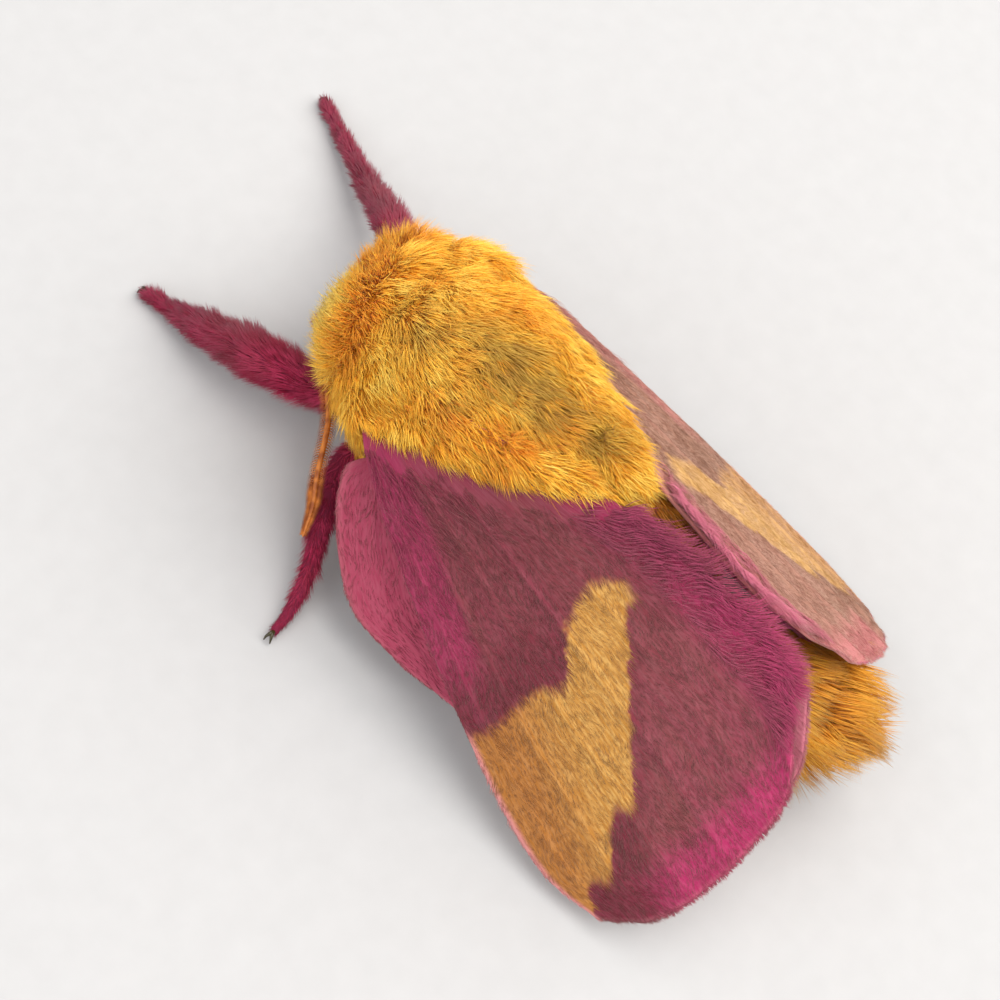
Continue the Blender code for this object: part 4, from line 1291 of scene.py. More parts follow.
def wobble(points, wavelength, seed):
    """A smooth random value from about -1 to 1 at each point."""
    rules = np.random.default_rng(seed)
    aims = unit(rules.normal(size=(WAVES, 3))) * 2 * math.pi / wavelength
    aims *= rules.uniform(*WAVE_SPREAD, (WAVES, 1))
    phases = rules.uniform(0, 2 * math.pi, WAVES)
    return np.sin(points @ aims.T + phases).sum(axis=1) / math.sqrt(WAVES / 2) * WAVE_GAIN


def clumps(roots, spacing):
    """For each root, the nearest of the roots that lead a clump."""
    leaders = draw.choice(len(roots), max(1, len(roots) // spacing), replace=False)
    tree = KDTree(len(leaders))
    for index, leader in enumerate(leaders):
        tree.insert(roots[leader], index)
    tree.balance()
    return np.array([leaders[tree.find(root)[1]] for root in roots])


print("a lock holds", LOCK_CLUMPS, "clumps")

# %% Draping
FLOOR_ROOM = 0.04
DRAPE_ROOM = 0.05
DRAPE_SCATTER = 0.10
DRAPE_DEPTH = 0.5
DRAPE_REACH = 1.5


def drape(paths):
    """Lift what would sink into the wings from above, and press down what would rise from below."""
    roots = paths[:, 0]
    root_wing = wing_top(roots[:, 0], roots[:, 1])
    above = (root_wing == NO_WING) | (roots[:, 2] > root_wing - DRAPE_DEPTH)
    for step in range(1, paths.shape[1]):
        point = paths[:, step]
        top = wing_top(point[:, 0], point[:, 1])
        room = DRAPE_ROOM + DRAPE_SCATTER * draw.random(len(point))
        lifted = np.maximum(point[:, 2], top + room)
        pressed = np.minimum(point[:, 2], top - WING_THICKNESS - room)
        over = np.where(above & (lifted - point[:, 2] < DRAPE_REACH), lifted, point[:, 2])
        under = np.where(top > NO_WING, pressed, point[:, 2])
        point[:, 2] = np.maximum(np.where(above, over, under), FLOOR_ROOM)
    return paths


print("hair keeps", DRAPE_ROOM, "mm clear of a wing")

# %% Comb
ROOT_DEPTH = 0.12
TURNS = ((0.26, 2.4), (0.16, 0.8))
SHORTEST, LENGTH_SPREAD = 0.74, 0.52
LENGTH_WAVE, LENGTH_WAVELENGTH = 0.10, 1.1
CLUMP_LIFT, LOCK_LIFT, RISE_SCATTER = 0.06, 0.08, 0.08
LIFTED_CLUMP = 0.2
GATHER_POWER = 1.3
TONE_MIDDLE, TONE_SPREAD = 0.5, 0.14
TONE_WAVE, TONE_WAVELENGTH = 0.12, 1.6
CLUMP_TONE, LOCK_TONE = 0.10, 0.08
NARROWEST, WIDTH_SPREAD = 0.7, 0.6


def comb(
        roots, normals, lies, length, width, rise, rings, seed, clump, spacing, lock=0.2,
        depth=ROOT_DEPTH, mess=0.12):
    """Paths of tufts that rise from the skin at the first angle and lie down to the second."""
    count = len(roots)
    lies = unit(lies - normals * (lies * normals).sum(axis=1, keepdims=True))
    sides = np.cross(lies, normals)
    turn = sum(
        amount * wobble(roots, wavelength, seed + index)
        for index, (amount, wavelength) in enumerate(TURNS))
    turn = turn + draw.normal(0, mess, count)
    lies = unit(lies * np.cos(turn)[:, None] + sides * np.sin(turn)[:, None])
    sides = np.cross(lies, normals)
    lengths = length * (SHORTEST + LENGTH_SPREAD * draw.random(count))
    lengths = lengths * (1 + LENGTH_WAVE * wobble(roots, LENGTH_WAVELENGTH, seed + 2))
    leader = clumps(roots, spacing)
    chief = clumps(roots, spacing * LOCK_CLUMPS)
    lift = draw.normal(0, CLUMP_LIFT, count)[leader] + draw.normal(0, LOCK_LIFT, count)[chief]
    lift *= min(1.0, clump / LIFTED_CLUMP)
    paths = [roots - normals * depth]
    for ring in range(rings):
        share = ring / max(1, rings - 1)
        angle = rise[0] + (rise[1] - rise[0]) * share + lift
        angle = angle + draw.normal(0, RISE_SCATTER, count)
        step = lies * np.cos(angle)[:, None] + normals * np.sin(angle)[:, None]
        paths.append(paths[-1] + step * (lengths / rings)[:, None])
    paths = np.stack(paths, axis=1)
    for ring in range(1, rings + 1):
        near = paths[leader, ring] - paths[:, ring]
        far = paths[chief, ring] - paths[:, ring]
        paths[:, ring] += (near * clump + far * lock) * (ring / rings) ** GATHER_POWER
    tone = TONE_MIDDLE + TONE_SPREAD * draw.normal(size=count)
    tone += TONE_WAVE * wobble(roots, TONE_WAVELENGTH, seed + 3)
    clump_tone = CLUMP_TONE * draw.normal(size=count)[leader]
    tone += clump_tone + LOCK_TONE * draw.normal(size=count)[chief]
    return {
        "paths": paths, "sides": sides, "ups": normals,
        "widths": width * (NARROWEST + WIDTH_SPREAD * draw.random(count)),
        "Tone": np.clip(tone, 0.0, 1.0), "Mark": np.zeros(count)}


print("a root starts", ROOT_DEPTH, "mm under the skin")

# %% [markdown]
# ## Colours of the fur
# The thorax is golden, pale yellow at the tips, with an olive-brown bloom along the middle of the
# back; towards the roots and in its crease the hair turns orange-brown, as painted shade deep in
# the coat. The abdomen is a deeper orange-yellow, and the legs are crimson. One recipe serves all
# of them: a ramp from dark to light hairs, paler at the tip, with painted shade at the root and
# one more colour for marks, which on some coats are painted light and shade.

# %% Fur finishes
FUR_SHEEN, FUR_SHEEN_ROUGHNESS = 0.08, 0.45
FUR_GRAIN = 2600.0
GRAIN_SHARE = 0.25
TONE_STOPS = (0.12, 0.5, 0.88)
PALE_TIP, TIP_GAIN = (0.45, 1.0), 0.3
# Painted shade deep in the coat: towards the root the hair turns to the darker root colour.
ROOT_SHADE_END = (0.55, -0.15)
# Each coat: dark, middle and light tone, painted shade at the root, and the marks' colour, which is
# painted shade on the abdomen and partly painted light on the legs.
FUR_COLOURS = {
    "golden_hair": (
        (230, 140, 26), (255, 188, 48), (255, 216, 96), (240, 158, 36), (160, 116, 46)),
    "abdomen_hair": (
        (192, 112, 18), (220, 144, 32), (236, 178, 60), (176, 102, 14), (164, 88, 16)),
    "crimson_hair": ((122, 8, 38), (156, 16, 58), (192, 52, 90), (106, 8, 32), (164, 62, 74)),
    "face_hair": ((140, 26, 52), (184, 52, 84), (226, 120, 124), (104, 20, 40), (240, 176, 70)),
}


def fur_finish(name, dark, middle, light, root, mark):
    """Hair from its dark, middle and light tones, the painted shade at its root, and the colour of
    its marks, which on some coats are painted light and shade.
    """
    finish = Finish(name, roughness=0.58, specular=0.22)
    finish.shader.inputs["Sheen Weight"].default_value = FUR_SHEEN
    finish.shader.inputs["Sheen Roughness"].default_value = FUR_SHEEN_ROUGHNESS
    grain = finish.math("SUBTRACT", finish.noise(finish.place(), FUR_GRAIN, detail=2.0), 0.5)
    grain = finish.math("MULTIPLY", grain, GRAIN_SHARE)
    tone = finish.math("ADD", finish.attribute("Tone"), grain)
    shown = finish.ramp(tone, tuple(zip(TONE_STOPS, (dark, middle, light))))
    shown = finish.mix(finish.attribute("Mark"), shown, mark)
    tip = finish.attribute("Tip")
    pale = finish.math("MULTIPLY", finish.ease(tip, *PALE_TIP), TIP_GAIN)
    shown = finish.mix(pale, shown, light)
    # Painted shade: near the skin the hair takes the darker root colour.
    shown = finish.mix(finish.ease(tip, *ROOT_SHADE_END), shown, root)
    return finish.colour(shown)


FUR = {
    name: fur_finish(name, *(colour(*shade) for shade in shades))
    for name, shades in FUR_COLOURS.items()}

SKIN_GRAIN = 1500.0
GOLD_SKIN = (colour(206, 122, 20), colour(236, 158, 38))
CRIMSON_SKIN = (colour(84, 16, 36), colour(140, 34, 66))


def skin_finish():
    """The skin's own colour: golden on the body and crimson on face and legs."""
    finish = Finish("skin", roughness=0.7, specular=0.2)
    grain = finish.noise(finish.place(), SKIN_GRAIN, detail=3.0)
    gold = finish.mix(grain, *GOLD_SKIN)
    crimson = finish.mix(grain, *CRIMSON_SKIN)
    finish.bump(grain, strength=0.5, distance=0.0001)
    return finish.colour(finish.mix(finish.attribute("Crimson"), gold, crimson))


print("fur finishes:", *FUR)

# %% [markdown]
# ## The skin's markings
# The skin shows only between hairs, so it takes the colour of the hair above it.

# %% Finish the skin
CRIMSON_PARTS = [name for name in TUBES if name != "abdomen"]
CROWN_HEIGHT = 4.9


def finish_skin():
    parts, _ = part_of(skin_points)
    face = (parts == "head") & (skin_points[:, 2] < CROWN_HEIGHT)
    crimson = np.isin(parts, CRIMSON_PARTS) | face
    add_attribute(skin.data, "Crimson", crimson)
    skin.data.materials.clear()
    skin.data.materials.append(skin_finish())
    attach(skin, "root")
    legs = ["leg_" + name for name in LEG_PATHS]
    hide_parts("thorax", "abdomen", "head", *legs)


finish_skin()

# %% [markdown]
# ## Unwrapping the body
# The torso is unwrapped as a cylinder round the body's axis, and each tube as a strip: the turn
# round it is one side of the map and the way along it the other.

# %% Unwrap
TORSO_LOW, TORSO_HIGH = -8.2, 9.5
TORSO_AXIS_HEIGHT = 5.2


def in_map(turn, along):
    """Places in the map, kept a patch's size inside it."""
    return np.clip(np.stack((turn, along), axis=-1), PATCH, 1 - PATCH)


def torso_place(points):
    turn = np.arctan2(points[:, 0], TORSO_AXIS_HEIGHT - points[:, 2]) / (2 * math.pi) + 0.5
    return in_map(turn, (points[:, 1] - TORSO_LOW) / (TORSO_HIGH - TORSO_LOW))


def tube_frame(points, tube):
    """For each point the nearest place on a tube's line, the line's way there, and its share."""
    line, _ = tube
    nearest = np.linalg.norm(points[:, None] - line[None], axis=-1).argmin(axis=1)
    return line[nearest], unit(np.gradient(line, axis=0))[nearest], nearest / (len(line) - 1)


def tube_place(points, tube):
    middle, along, share = tube_frame(points, tube)
    across = unit(np.cross(along, (0.0, 0.0, 1.0)))
    lift = np.cross(across, along)
    out = points - middle
    turn = np.arctan2((out * across).sum(axis=1), -(out * lift).sum(axis=1)) / (2 * math.pi)
    return in_map(turn + 0.5, share)


print("torso runs from", TORSO_LOW, "to", TORSO_HIGH, "mm")

# %% [markdown]
# ## The coat of the thorax
# The fluff is what one sees first. Its hair stands forward and outward on the collar, and behind
# the crease it lies back, spreads over the shoulders and drapes over the roots of the wings.
# Hairs gather in small locks, whose different lie makes the fluff look combed by hand. Three
# layers make it: a short dense one, a longer one over it, and a few stray hairs.

# %% Thorax coat
THORAX_LAYERS = {
    "over": {"count": 50000, "rings": 2, "gain": 1.0, "width": 0.038, "rises": (0.72, 0.28)},
    "under": {"count": 62000, "rings": 1, "gain": 0.78, "width": 0.040, "rises": (0.52, 0.52)},
    "stray": {"count": 260, "rings": 2, "gain": 1.35, "width": 0.022, "rises": (0.75, 0.45)},
}
THORAX_SEEDS = {"over": 41, "under": 45, "stray": 49}
THORAX_COMB = {"clump": 0.20, "spacing": 10, "lock": 0.12, "mess": 0.26}
THORAX_LENGTH = 1.25
COLLAR_LENGTH = 1.2
CREASE_FRONT = -5.3
CREASE_SLOPE = 0.52
CREASE_WIDTH = 0.45
CREASE_STAND = 0.35
CREASE_TURN = 0.4
SIDE_REACH, SIDE_SPREAD, SIDE_DROOP = 4.5, 0.22, 0.06
FAN_SPREAD, FAN_SCATTER = 0.4, 0.22
BELLY_TOP, BELLY_SHARE = 3.0, 0.35


def crease_gap(points):
    """How far a point is in front of the crease between the collar's hair and the back's."""
    return CREASE_FRONT + CREASE_SLOPE * np.maximum(points[:, 0], -1.0) - points[:, 1]


def thorax_lie(points):
    """Back along the body, a little out over the shoulders, and forward in front of the crease."""
    outward = unit(points * (1.0, 0.0, 1.0) - (0.0, 0.0, TORSO_AXIS_HEIGHT))
    across = np.clip(points[:, 0:1] / SIDE_REACH, -1, 1)
    back = np.array((0.0, 1.0, 0.0)) + across * (SIDE_SPREAD, 0.0, 0.0)
    back -= np.abs(across) * (0.0, 0.0, SIDE_DROOP)
    crossing = draw.normal(0.0, CREASE_WIDTH, len(points))
    forward = np.clip((crease_gap(points) + crossing) / CREASE_TURN, 0.0, 1.0)[:, None]
    fan = np.array((0.0, -1.0, 0.0)) + outward * FAN_SPREAD
    fan += draw.normal(0.0, FAN_SCATTER, points.shape)
    return unit(back * (1 - forward) + fan * forward)


print("hair of the back:", THORAX_LENGTH, "mm long")

# %% Tints of the thorax
OLIVE_SPOTS = (
    (0.8, -2.4, 1.1, 0.65), (0.2, -0.1, 1.1, 0.80), (0.0, 1.3, 1.0, 0.90), (0.1, 2.8, 1.0, 1.0),
    (-0.3, 5.0, 1.1, 0.85), (2.2, 0.5, 0.8, 0.50))
OLIVE_WAVELENGTH = 0.6
OLIVE_LEAST, OLIVE_GAIN, OLIVE_MOST = 0.4, 1.2, 0.85
ORANGE_SPOTS = (
    (3.2, 0.8, 0.9, 0.9), (2.3, 2.3, 0.9, 1.0), (1.1, 3.7, 0.9, 1.0), (-1.6, -0.6, 0.9, 0.6))
SPOTS_ABOVE = 7.6
CREASE_ABOVE, CREASE_FADE = 5.0, 2.0
FRINGE_START = 0.6
# The crease's darker tone is painted shade; the fringe's and the orange spots' tones are the hair's
# own.
FRINGE_TONE, CREASE_SHADE, ORANGE_TONE = 0.30, 0.45, 0.40


def spots(points, places):
    """How much of each blurred spot of the back a point has, summed."""
    total = np.zeros(len(points))
    for x, y, reach, weight in places:
        total += weight * np.exp(-((points[:, 0] - x) ** 2 + (points[:, 1] - y) ** 2) / reach ** 2)
    return total * np.clip(points[:, 2] - SPOTS_ABOVE, 0.0, 1.0)


def tint(coat, roots):
    """Painted shade in the crease, orange-brown spots, pale in front of the crease, and olive along
    the back.
    """
    fray = 0.5 + 0.5 * wobble(roots, OLIVE_WAVELENGTH, 91)
    olive = spots(roots, OLIVE_SPOTS) * np.clip(OLIVE_LEAST + fray, 0.0, OLIVE_GAIN)
    coat["Mark"] = np.clip(olive, 0.0, OLIVE_MOST)
    # Painted shade: the hair in the crease between collar and back is darker.
    crease = np.exp(-(crease_gap(roots) / CREASE_WIDTH) ** 2)
    crease *= np.clip((roots[:, 2] - CREASE_ABOVE) / CREASE_FADE, 0.0, 1.0)
    fringe = np.clip(crease_gap(roots) / CREASE_WIDTH - FRINGE_START, 0.0, 1.0)
    coat["Tone"] += FRINGE_TONE * fringe - CREASE_SHADE * crease
    coat["Tone"] -= ORANGE_TONE * spots(roots, ORANGE_SPOTS)
    coat["Tone"] = np.clip(coat["Tone"], 0.0, 1.0)
    return coat


print("tints:", len(OLIVE_SPOTS), "olive and", len(ORANGE_SPOTS), "orange spots")

# %% Layers of the thorax
COLLAR_REACH = 0.5
COLLAR_RISE = (0.15, 0.20)
WING_FLATTEN = (0.20, 0.12)
OVER_ROOM, OVER_GAIN = 0.1, 5.0


def thorax_coat(seed, count, rings, gain, width, rises):
    """One layer of the fluff; the rises are those of a tuft's first and last stretch."""
    chosen = np.isin(middle_parts, FLUFFY)
    weight = np.where(middles[:, 2] < BELLY_TOP, BELLY_SHARE, 1.0)
    density = count / (areas * chosen * weight).sum()
    roots, normals, _ = grow_places(chosen, density * weight, count)
    collar = np.clip(crease_gap(roots) / COLLAR_REACH, 0.0, 1.0)
    top = wing_top(roots[:, 0], roots[:, 1])
    over_wing = np.clip((roots[:, 2] - top + OVER_ROOM) * OVER_GAIN, 0.0, 1.0) * (top > NO_WING)
    length = gain * (THORAX_LENGTH + (COLLAR_LENGTH - THORAX_LENGTH) * collar)
    stand = CREASE_STAND * np.exp(-(crease_gap(roots) / CREASE_WIDTH) ** 2)
    first, last = (
        rise - flat * over_wing + up * collar + stand
        for rise, flat, up in zip(rises, WING_FLATTEN, COLLAR_RISE))
    lies = thorax_lie(roots)
    coat = comb(roots, normals, lies, length, width, (first, last), rings, seed, **THORAX_COMB)
    coat["paths"] = drape(coat["paths"])
    coat["bake"] = torso_place(roots)
    return tint(coat, roots)


thorax_coats = {
    name: thorax_coat(THORAX_SEEDS[name], **layer) for name, layer in THORAX_LAYERS.items()}
for name, coat in thorax_coats.items():
    build_tufts("coat_thorax_" + name, coat, FUR["golden_hair"])
print("thorax coat:", len(thorax_coats), "layers")

# %% [markdown]
# ## Head, abdomen and legs
# The face has short, rose-red hair, and the crown is golden. On the abdomen the hair lies back
# and ends in a loose tail tuft, with painted shade under the wings and on the belly. The legs are
# crimson: thick on the thighs and shins, short on the feet, a tone lighter on their upper side as
# painted light, and with a paler, duller patch painted as light on the side of the front legs
# that the light meets.

# %% Head
HEAD_PARTS = ("head", "palp_left", "palp_right")
HEAD_DENSITY = 200.0
HEAD_HAIR = {
    "length": 0.62, "width": 0.05, "rise": (0.75, 0.35), "rings": 2, "seed": 51, "clump": 0.3,
    "spacing": 12}
FACE_LIE, FACE_STAND = np.array((0.0, -0.5, -1.0)), 0.2
EYE_ROOM = 0.1
CROWN_START, CROWN_REACH, CROWN_MARK = 4.7, 0.5, 0.9


def head_coat():
    roots, normals, _ = grow_places(np.isin(middle_parts, HEAD_PARTS), HEAD_DENSITY)
    eye_gap = np.linalg.norm(np.abs(roots) * (1.0, -1.0, 1.0) - EYE, axis=1)
    keep = eye_gap > EYE_RADIUS + EYE_ROOM
    roots, normals = roots[keep], normals[keep]
    lies = FACE_LIE + normals * FACE_STAND
    coat = comb(roots, normals, lies, **HEAD_HAIR)
    coat["bake"] = torso_place(roots)
    coat["Mark"] = np.clip((roots[:, 2] - CROWN_START) / CROWN_REACH, 0.0, 1.0) * CROWN_MARK
    return coat


build_tufts("coat_head", head_coat(), FUR["face_hair"])

# %% Abdomen and tail
ABDOMEN_PARTS = ("abdomen", "tail", "keel")
TAIL_START = 13.0
TAIL_HEART = np.array((-1.1, 14.0, 3.8))
ABDOMEN_DENSITY, TAIL_DENSITY, KEEL_DENSITY = 60.0, 190.0, 60.0
ABDOMEN_LENGTH, TAIL_LENGTH = 1.1, 1.5
ABDOMEN_HAIR = {
    "width": 0.055, "rings": 2, "seed": 61, "clump": 0.3, "spacing": 14, "lock": 0.3}
ABDOMEN_RISES = ((0.50, 0.20), (0.12, 0.30))
# Painted shade on the abdomen's hair: how dark it gets, and below, where it starts under the wings
# and on the belly.
ABDOMEN_SHADE = 0.75
TUFT_START, TUFT_REACH = 13.5, 2.5
SHADE_START, SHADE_REACH = 6.4, 0.8
BELLY_SHADE_START, BELLY_SHADE_REACH = 3.9, 1.6


def abdomen_coat():
    chosen = np.isin(middle_parts, ABDOMEN_PARTS)
    density = np.where(middles[:, 1] > TAIL_START, TAIL_DENSITY, ABDOMEN_DENSITY)
    density = density + KEEL_DENSITY * (middle_parts == "keel")
    roots, normals, _ = grow_places(chosen, density)
    tube = TUBES["abdomen"]
    tail = np.clip((roots[:, 1] - TUFT_START) / TUFT_REACH, 0.0, 1.0)
    along = tube_frame(roots, tube)[1]
    lies = along * (1.0 - 0.5 * tail[:, None]) + unit(roots - TAIL_HEART) * tail[:, None]
    length = ABDOMEN_LENGTH + TAIL_LENGTH * tail
    rise = [flat + more * tail for flat, more in ABDOMEN_RISES]
    coat = comb(roots, normals, lies, length, rise=rise, **ABDOMEN_HAIR)
    coat["paths"] = drape(coat["paths"])
    coat["bake"] = tube_place(roots, tube)
    # Painted shade: darker hair high on the abdomen, under the wings, and low on the belly.
    shade_under_wings = np.clip((roots[:, 2] - SHADE_START) / SHADE_REACH, 0.0, 1.0)
    belly_shade = ABDOMEN_SHADE * (BELLY_SHADE_START - roots[:, 2]) / BELLY_SHADE_REACH
    coat["Mark"] = np.clip(np.maximum(belly_shade, shade_under_wings), 0.0, ABDOMEN_SHADE)
    return coat


build_tufts("coat_abdomen", abdomen_coat(), FUR["abdomen_hair"])

# %% Legs
LEG_SHARES = (0.0, 0.15, 0.62, 0.75, 1.0)
LEG_KINDS = {
    "front": {"density": 300.0, "length": 0.78, "thick": (1.0, 1.0, 0.9, 0.70, 0.65)},
    "rear": {"density": 200.0, "length": 0.66, "thick": (1.0, 1.0, 0.9, 0.6, 0.5)},
}
LEG_HAIR = {
    "width": 0.042, "rise": (0.62, 0.62), "rings": 1, "seed": 71, "clump": 0.18, "spacing": 10,
    "lock": 0.08}
FOOT_START, FOOT_REACH, FOOT_GAIN = 0.62, 0.1, 0.6
# Painted light: hair on a leg's upper side is a tone lighter.
UPPER_SIDE, UPPER_PAINTED_LIGHT = 0.3, 0.1
# Painted light: a paler, duller patch on the side of the front legs that the light meets.
LIT_PATCH_AIM = np.array((-0.55, -0.66, 0.48))
LIT_PATCH_SHARES = (0.15, 0.3, 0.55, 0.65)
LIT_PATCH_SHARE = 0.55
LEG_PATCHES, PATCHES_MOST, PATCH_WAVELENGTH = 0.3, 0.25, 1.8


def leg_coat(name):
    front = "front" in name
    kind = LEG_KINDS["front" if front else "rear"]
    tube = TUBES[name]
    on_foot = np.clip((middle_shares - FOOT_START) / FOOT_REACH, 0.0, 1.0)
    density = kind["density"] * (1.0 + FOOT_GAIN * on_foot)
    roots, normals, share = grow_places(middle_parts == name, density)
    length = kind["length"] * np.interp(share, LEG_SHARES, kind["thick"])
    coat = comb(roots, normals, tube_frame(roots, tube)[1], length, **LEG_HAIR)
    coat["paths"] = drape(coat["paths"])
    coat["bake"] = tube_place(roots, tube)
    # Painted light on the upper side of the legs.
    coat["Tone"] = np.clip(coat["Tone"] + UPPER_PAINTED_LIGHT * (normals[:, 2] > UPPER_SIDE), 0.0, 1.0)
    # Painted light: the paler patch on the front legs, on their side towards the light.
    lit_patch = np.clip(normals @ LIT_PATCH_AIM * 2.0 - 0.5, 0.0, 1.0)
    lit_patch *= np.interp(share, LIT_PATCH_SHARES, (0.0, 1.0, 1.0, 0.0))
    patches = np.clip(LEG_PATCHES * wobble(roots, PATCH_WAVELENGTH, 77), 0.0, PATCHES_MOST)
    coat["Mark"] = patches + LIT_PATCH_SHARE * lit_patch * front
    return coat


for name in LEG_PATHS:
    build_tufts("coat_leg_" + name, leg_coat("leg_" + name), FUR["crimson_hair"])
print("coats of head, abdomen and", len(LEG_PATHS), "legs")

# %% [markdown]
# ## Hair and fringes of the wings
# The wings wear a velvet of short hair-scales that all point to the margin. Near the root and
# along the inner edge the hairs are long and combed back, and short fringes edge the outer and
# the front margin. Where the thorax's fluff covers a wing, the wing grows none.

# %% Places on a wing
TRIES = 4
LARGE_SHARE = 98
SHARE_STEP = 0.01


def wing_places(wing, count, chance):
    """Random shares on a wing, even over its area and thinned by a chance."""
    column, row = draw.random(count * TRIES), draw.random(count * TRIES)
    here, _ = wing.points(column, row, 0.0)
    out, _ = wing.points(np.minimum(column + SHARE_STEP, 1.0), row, 0.0)
    on, _ = wing.points(column, np.minimum(row + SHARE_STEP, 1.0), 0.0)
    size = np.linalg.norm(np.cross(out - here, on - here), axis=1)
    chance_here = size / np.percentile(size, LARGE_SHARE) * chance(column, row)
    keep = draw.random(len(size)) < chance_here
    return column[keep][:count], row[keep][:count]


def wing_frame(wing, column, row):
    """Places on a wing's face, its normals, and the ways to the margin and to the inner edge."""
    here, normals = wing.points(column, row, WING_TOP + relief(wing, column, row))
    back, _ = wing.points(column, row - SHARE_STEP, WING_TOP)
    on, _ = wing.points(column, row + SHARE_STEP, WING_TOP)
    near_side, _ = wing.points(column - SHARE_STEP, row, WING_TOP)
    far_side, _ = wing.points(column + SHARE_STEP, row, WING_TOP)
    return here, normals, unit(on - back), unit(far_side - near_side)


print("places are tried", TRIES, "times over")

# %% Wing under the fluff
COVER_STEP = 0.25
COVER_ROOM = 0.10
COVER_TUFTS = 3


def squares_of(points):
    """The squares of the plan that points stand in."""
    counts = ((PLAN_HIGH - PLAN_LOW) / COVER_STEP).astype(int) + 1
    return np.clip(((points[:, :2] - PLAN_LOW) / COVER_STEP).astype(int), 0, counts - 1), counts


def fluff_cover():
    """How many points of the thorax's tufts stand clear above the wings in each square."""
    layers = [thorax_coats[name]["paths"][:, 1:].reshape(-1, 3) for name in ("over", "under")]
    points = np.concatenate(layers)
    above = points[points[:, 2] > wing_top(points[:, 0], points[:, 1]) + COVER_ROOM]
    squares, counts = squares_of(above)
    cover = np.zeros(counts)
    np.add.at(cover, (squares[:, 0], squares[:, 1]), 1.0)
    return cover


fluff_points = fluff_cover()


def bare_wing(points):
    """True where the thorax's fluff leaves the wing uncovered."""
    squares, _ = squares_of(points)
    beside = ((points[:, :2] < PLAN_LOW) | (points[:, :2] > PLAN_HIGH)).any(axis=1)
    return beside | (fluff_points[squares[:, 0], squares[:, 1]] < COVER_TUFTS)


print("squares under the fluff:", int((fluff_points >= COVER_TUFTS).sum()))

# %% Kinds of wing hair
WING_ROOT_DEPTH = 0.02
WING_SPACING = 12
WING_LOCK = 0.06
SCALE_COUNTS = {"forewing": 26000, "hindwing": 9000}
SCALE_KIND = {
    "length": 0.34, "width": 0.036, "rise": (0.15, 0.15), "inward": 0.0, "rings": 1,
    "mess": 0.07, "clump": 0.02}
# The right wing's outer fringe takes pale pink as painted light.
OUTER_FRINGE = {
    "left": {"length": 0.24, "pink": 0.0},
    "right": {"length": 0.20, "pink": 0.5},
}
OUTER_KIND = {"width": 0.036, "rise": (0.04, 0.04), "inward": 0.1, "rings": 1}
OUTER_COUNT, OUTER_DEPTH = 2200, 0.010
FRONT_KIND = {
    "length": 0.24, "width": 0.036, "rise": (0.05, 0.05), "inward": -0.2, "rings": 1}
FRONT_COUNT, FRONT_DEPTH, FRONT_START = 900, 0.006, 0.25
ROOT_COUNT, ROOT_REACH, ROOT_FADE = 5200, 0.42, 0.3
ROOT_KIND = {"length": 0.95, "width": 0.024, "rise": (0.28, 0.06), "inward": 0.10, "rings": 2}
INNER_COUNT, INNER_DEPTH, INNER_END = 3200, 0.15, 0.92
INNER_POWERS = (1.2, 0.9)
INNER_KIND = {"length": 0.80, "width": 0.026, "rise": (0.34, 0.08), "inward": 0.50, "rings": 2}
# Pale pink on the inner edge's hair; the right wing's larger share is painted light on its lit
# ridge.
INNER_PINK_AND_LIGHT = {"left": 0.15, "right": 0.60}
EDGE_PLACES = {
    "left": {"count": 2600, "depth": 0.02},
    "right": {"count": 4200, "depth": 0.035},
}
EDGE_START, EDGE_REACH = 0.03, 0.88
# The right wing's ridge hair is mostly pale pink as painted light; the left's has a little pink of
# its own.
EDGE_KINDS = {
    "left": {
        "length": 1.15, "width": 0.024, "rise": (0.20, -0.15), "inward": 0.70, "rings": 2,
        "pink": 0.1, "mess": 0.30},
    "right": {
        "length": 0.95, "width": 0.028, "rise": (0.50, 0.08), "inward": 0.30, "rings": 2,
        "pink": 0.90, "mess": 0.26},
}


def wing_tufts(
        wing, column, row, seed, length, width, rise, inward, rings, pink=0.0, mess=0.12,
        clump=0.16):
    """Tufts on a wing's face; inward turns them to the inner edge, and the pink share is how much
    pale pink they take, which on the right wing is mostly painted light.
    """
    here, normals, onward, across = wing_frame(wing, column, row)
    lies = onward + across * inward
    keep = bare_wing(here)
    here, normals, lies, column, row = (
        values[keep] for values in (here, normals, lies, column, row))
    coat = comb(
        here, normals, lies, length, width, rise, rings, seed, clump=clump,
        spacing=WING_SPACING, lock=WING_LOCK, depth=WING_ROOT_DEPTH, mess=mess)
    coat["WingPlan"], coat["WingEdge"] = wing_maps(wing, column, row)
    coat["bake"] = in_map(column, row)
    coat["Mark"] = np.full(len(column), pink)
    return coat


def stack_coats(coats):
    return {key: np.concatenate([coat[key] for coat in coats]) for key in coats[0]}


print("scales on a forewing, at most:", SCALE_COUNTS["forewing"])

# %% Velvet and fringes
def velvet(wing, seed):
    """Short straight scales all over a wing, and the fringes of its outer and front margins."""
    count = SCALE_COUNTS["forewing" if wing.is_fore else "hindwing"]
    column, row = wing_places(wing, count, lambda c, r: np.ones(len(c)))
    coats = [wing_tufts(wing, column, row, seed, **SCALE_KIND)]
    column, row = draw.random(OUTER_COUNT), 1.0 - OUTER_DEPTH * draw.random(OUTER_COUNT)
    kind = OUTER_KIND | OUTER_FRINGE[wing.side]
    coats.append(wing_tufts(wing, column, row, seed + 1, **kind))
    column = FRONT_DEPTH * draw.random(FRONT_COUNT)
    row = FRONT_START + (1.0 - FRONT_START) * draw.random(FRONT_COUNT)
    coats.append(wing_tufts(wing, column, row, seed + 2, **FRONT_KIND))
    return stack_coats(coats)


print("fringes of", OUTER_COUNT, "and", FRONT_COUNT, "tufts")

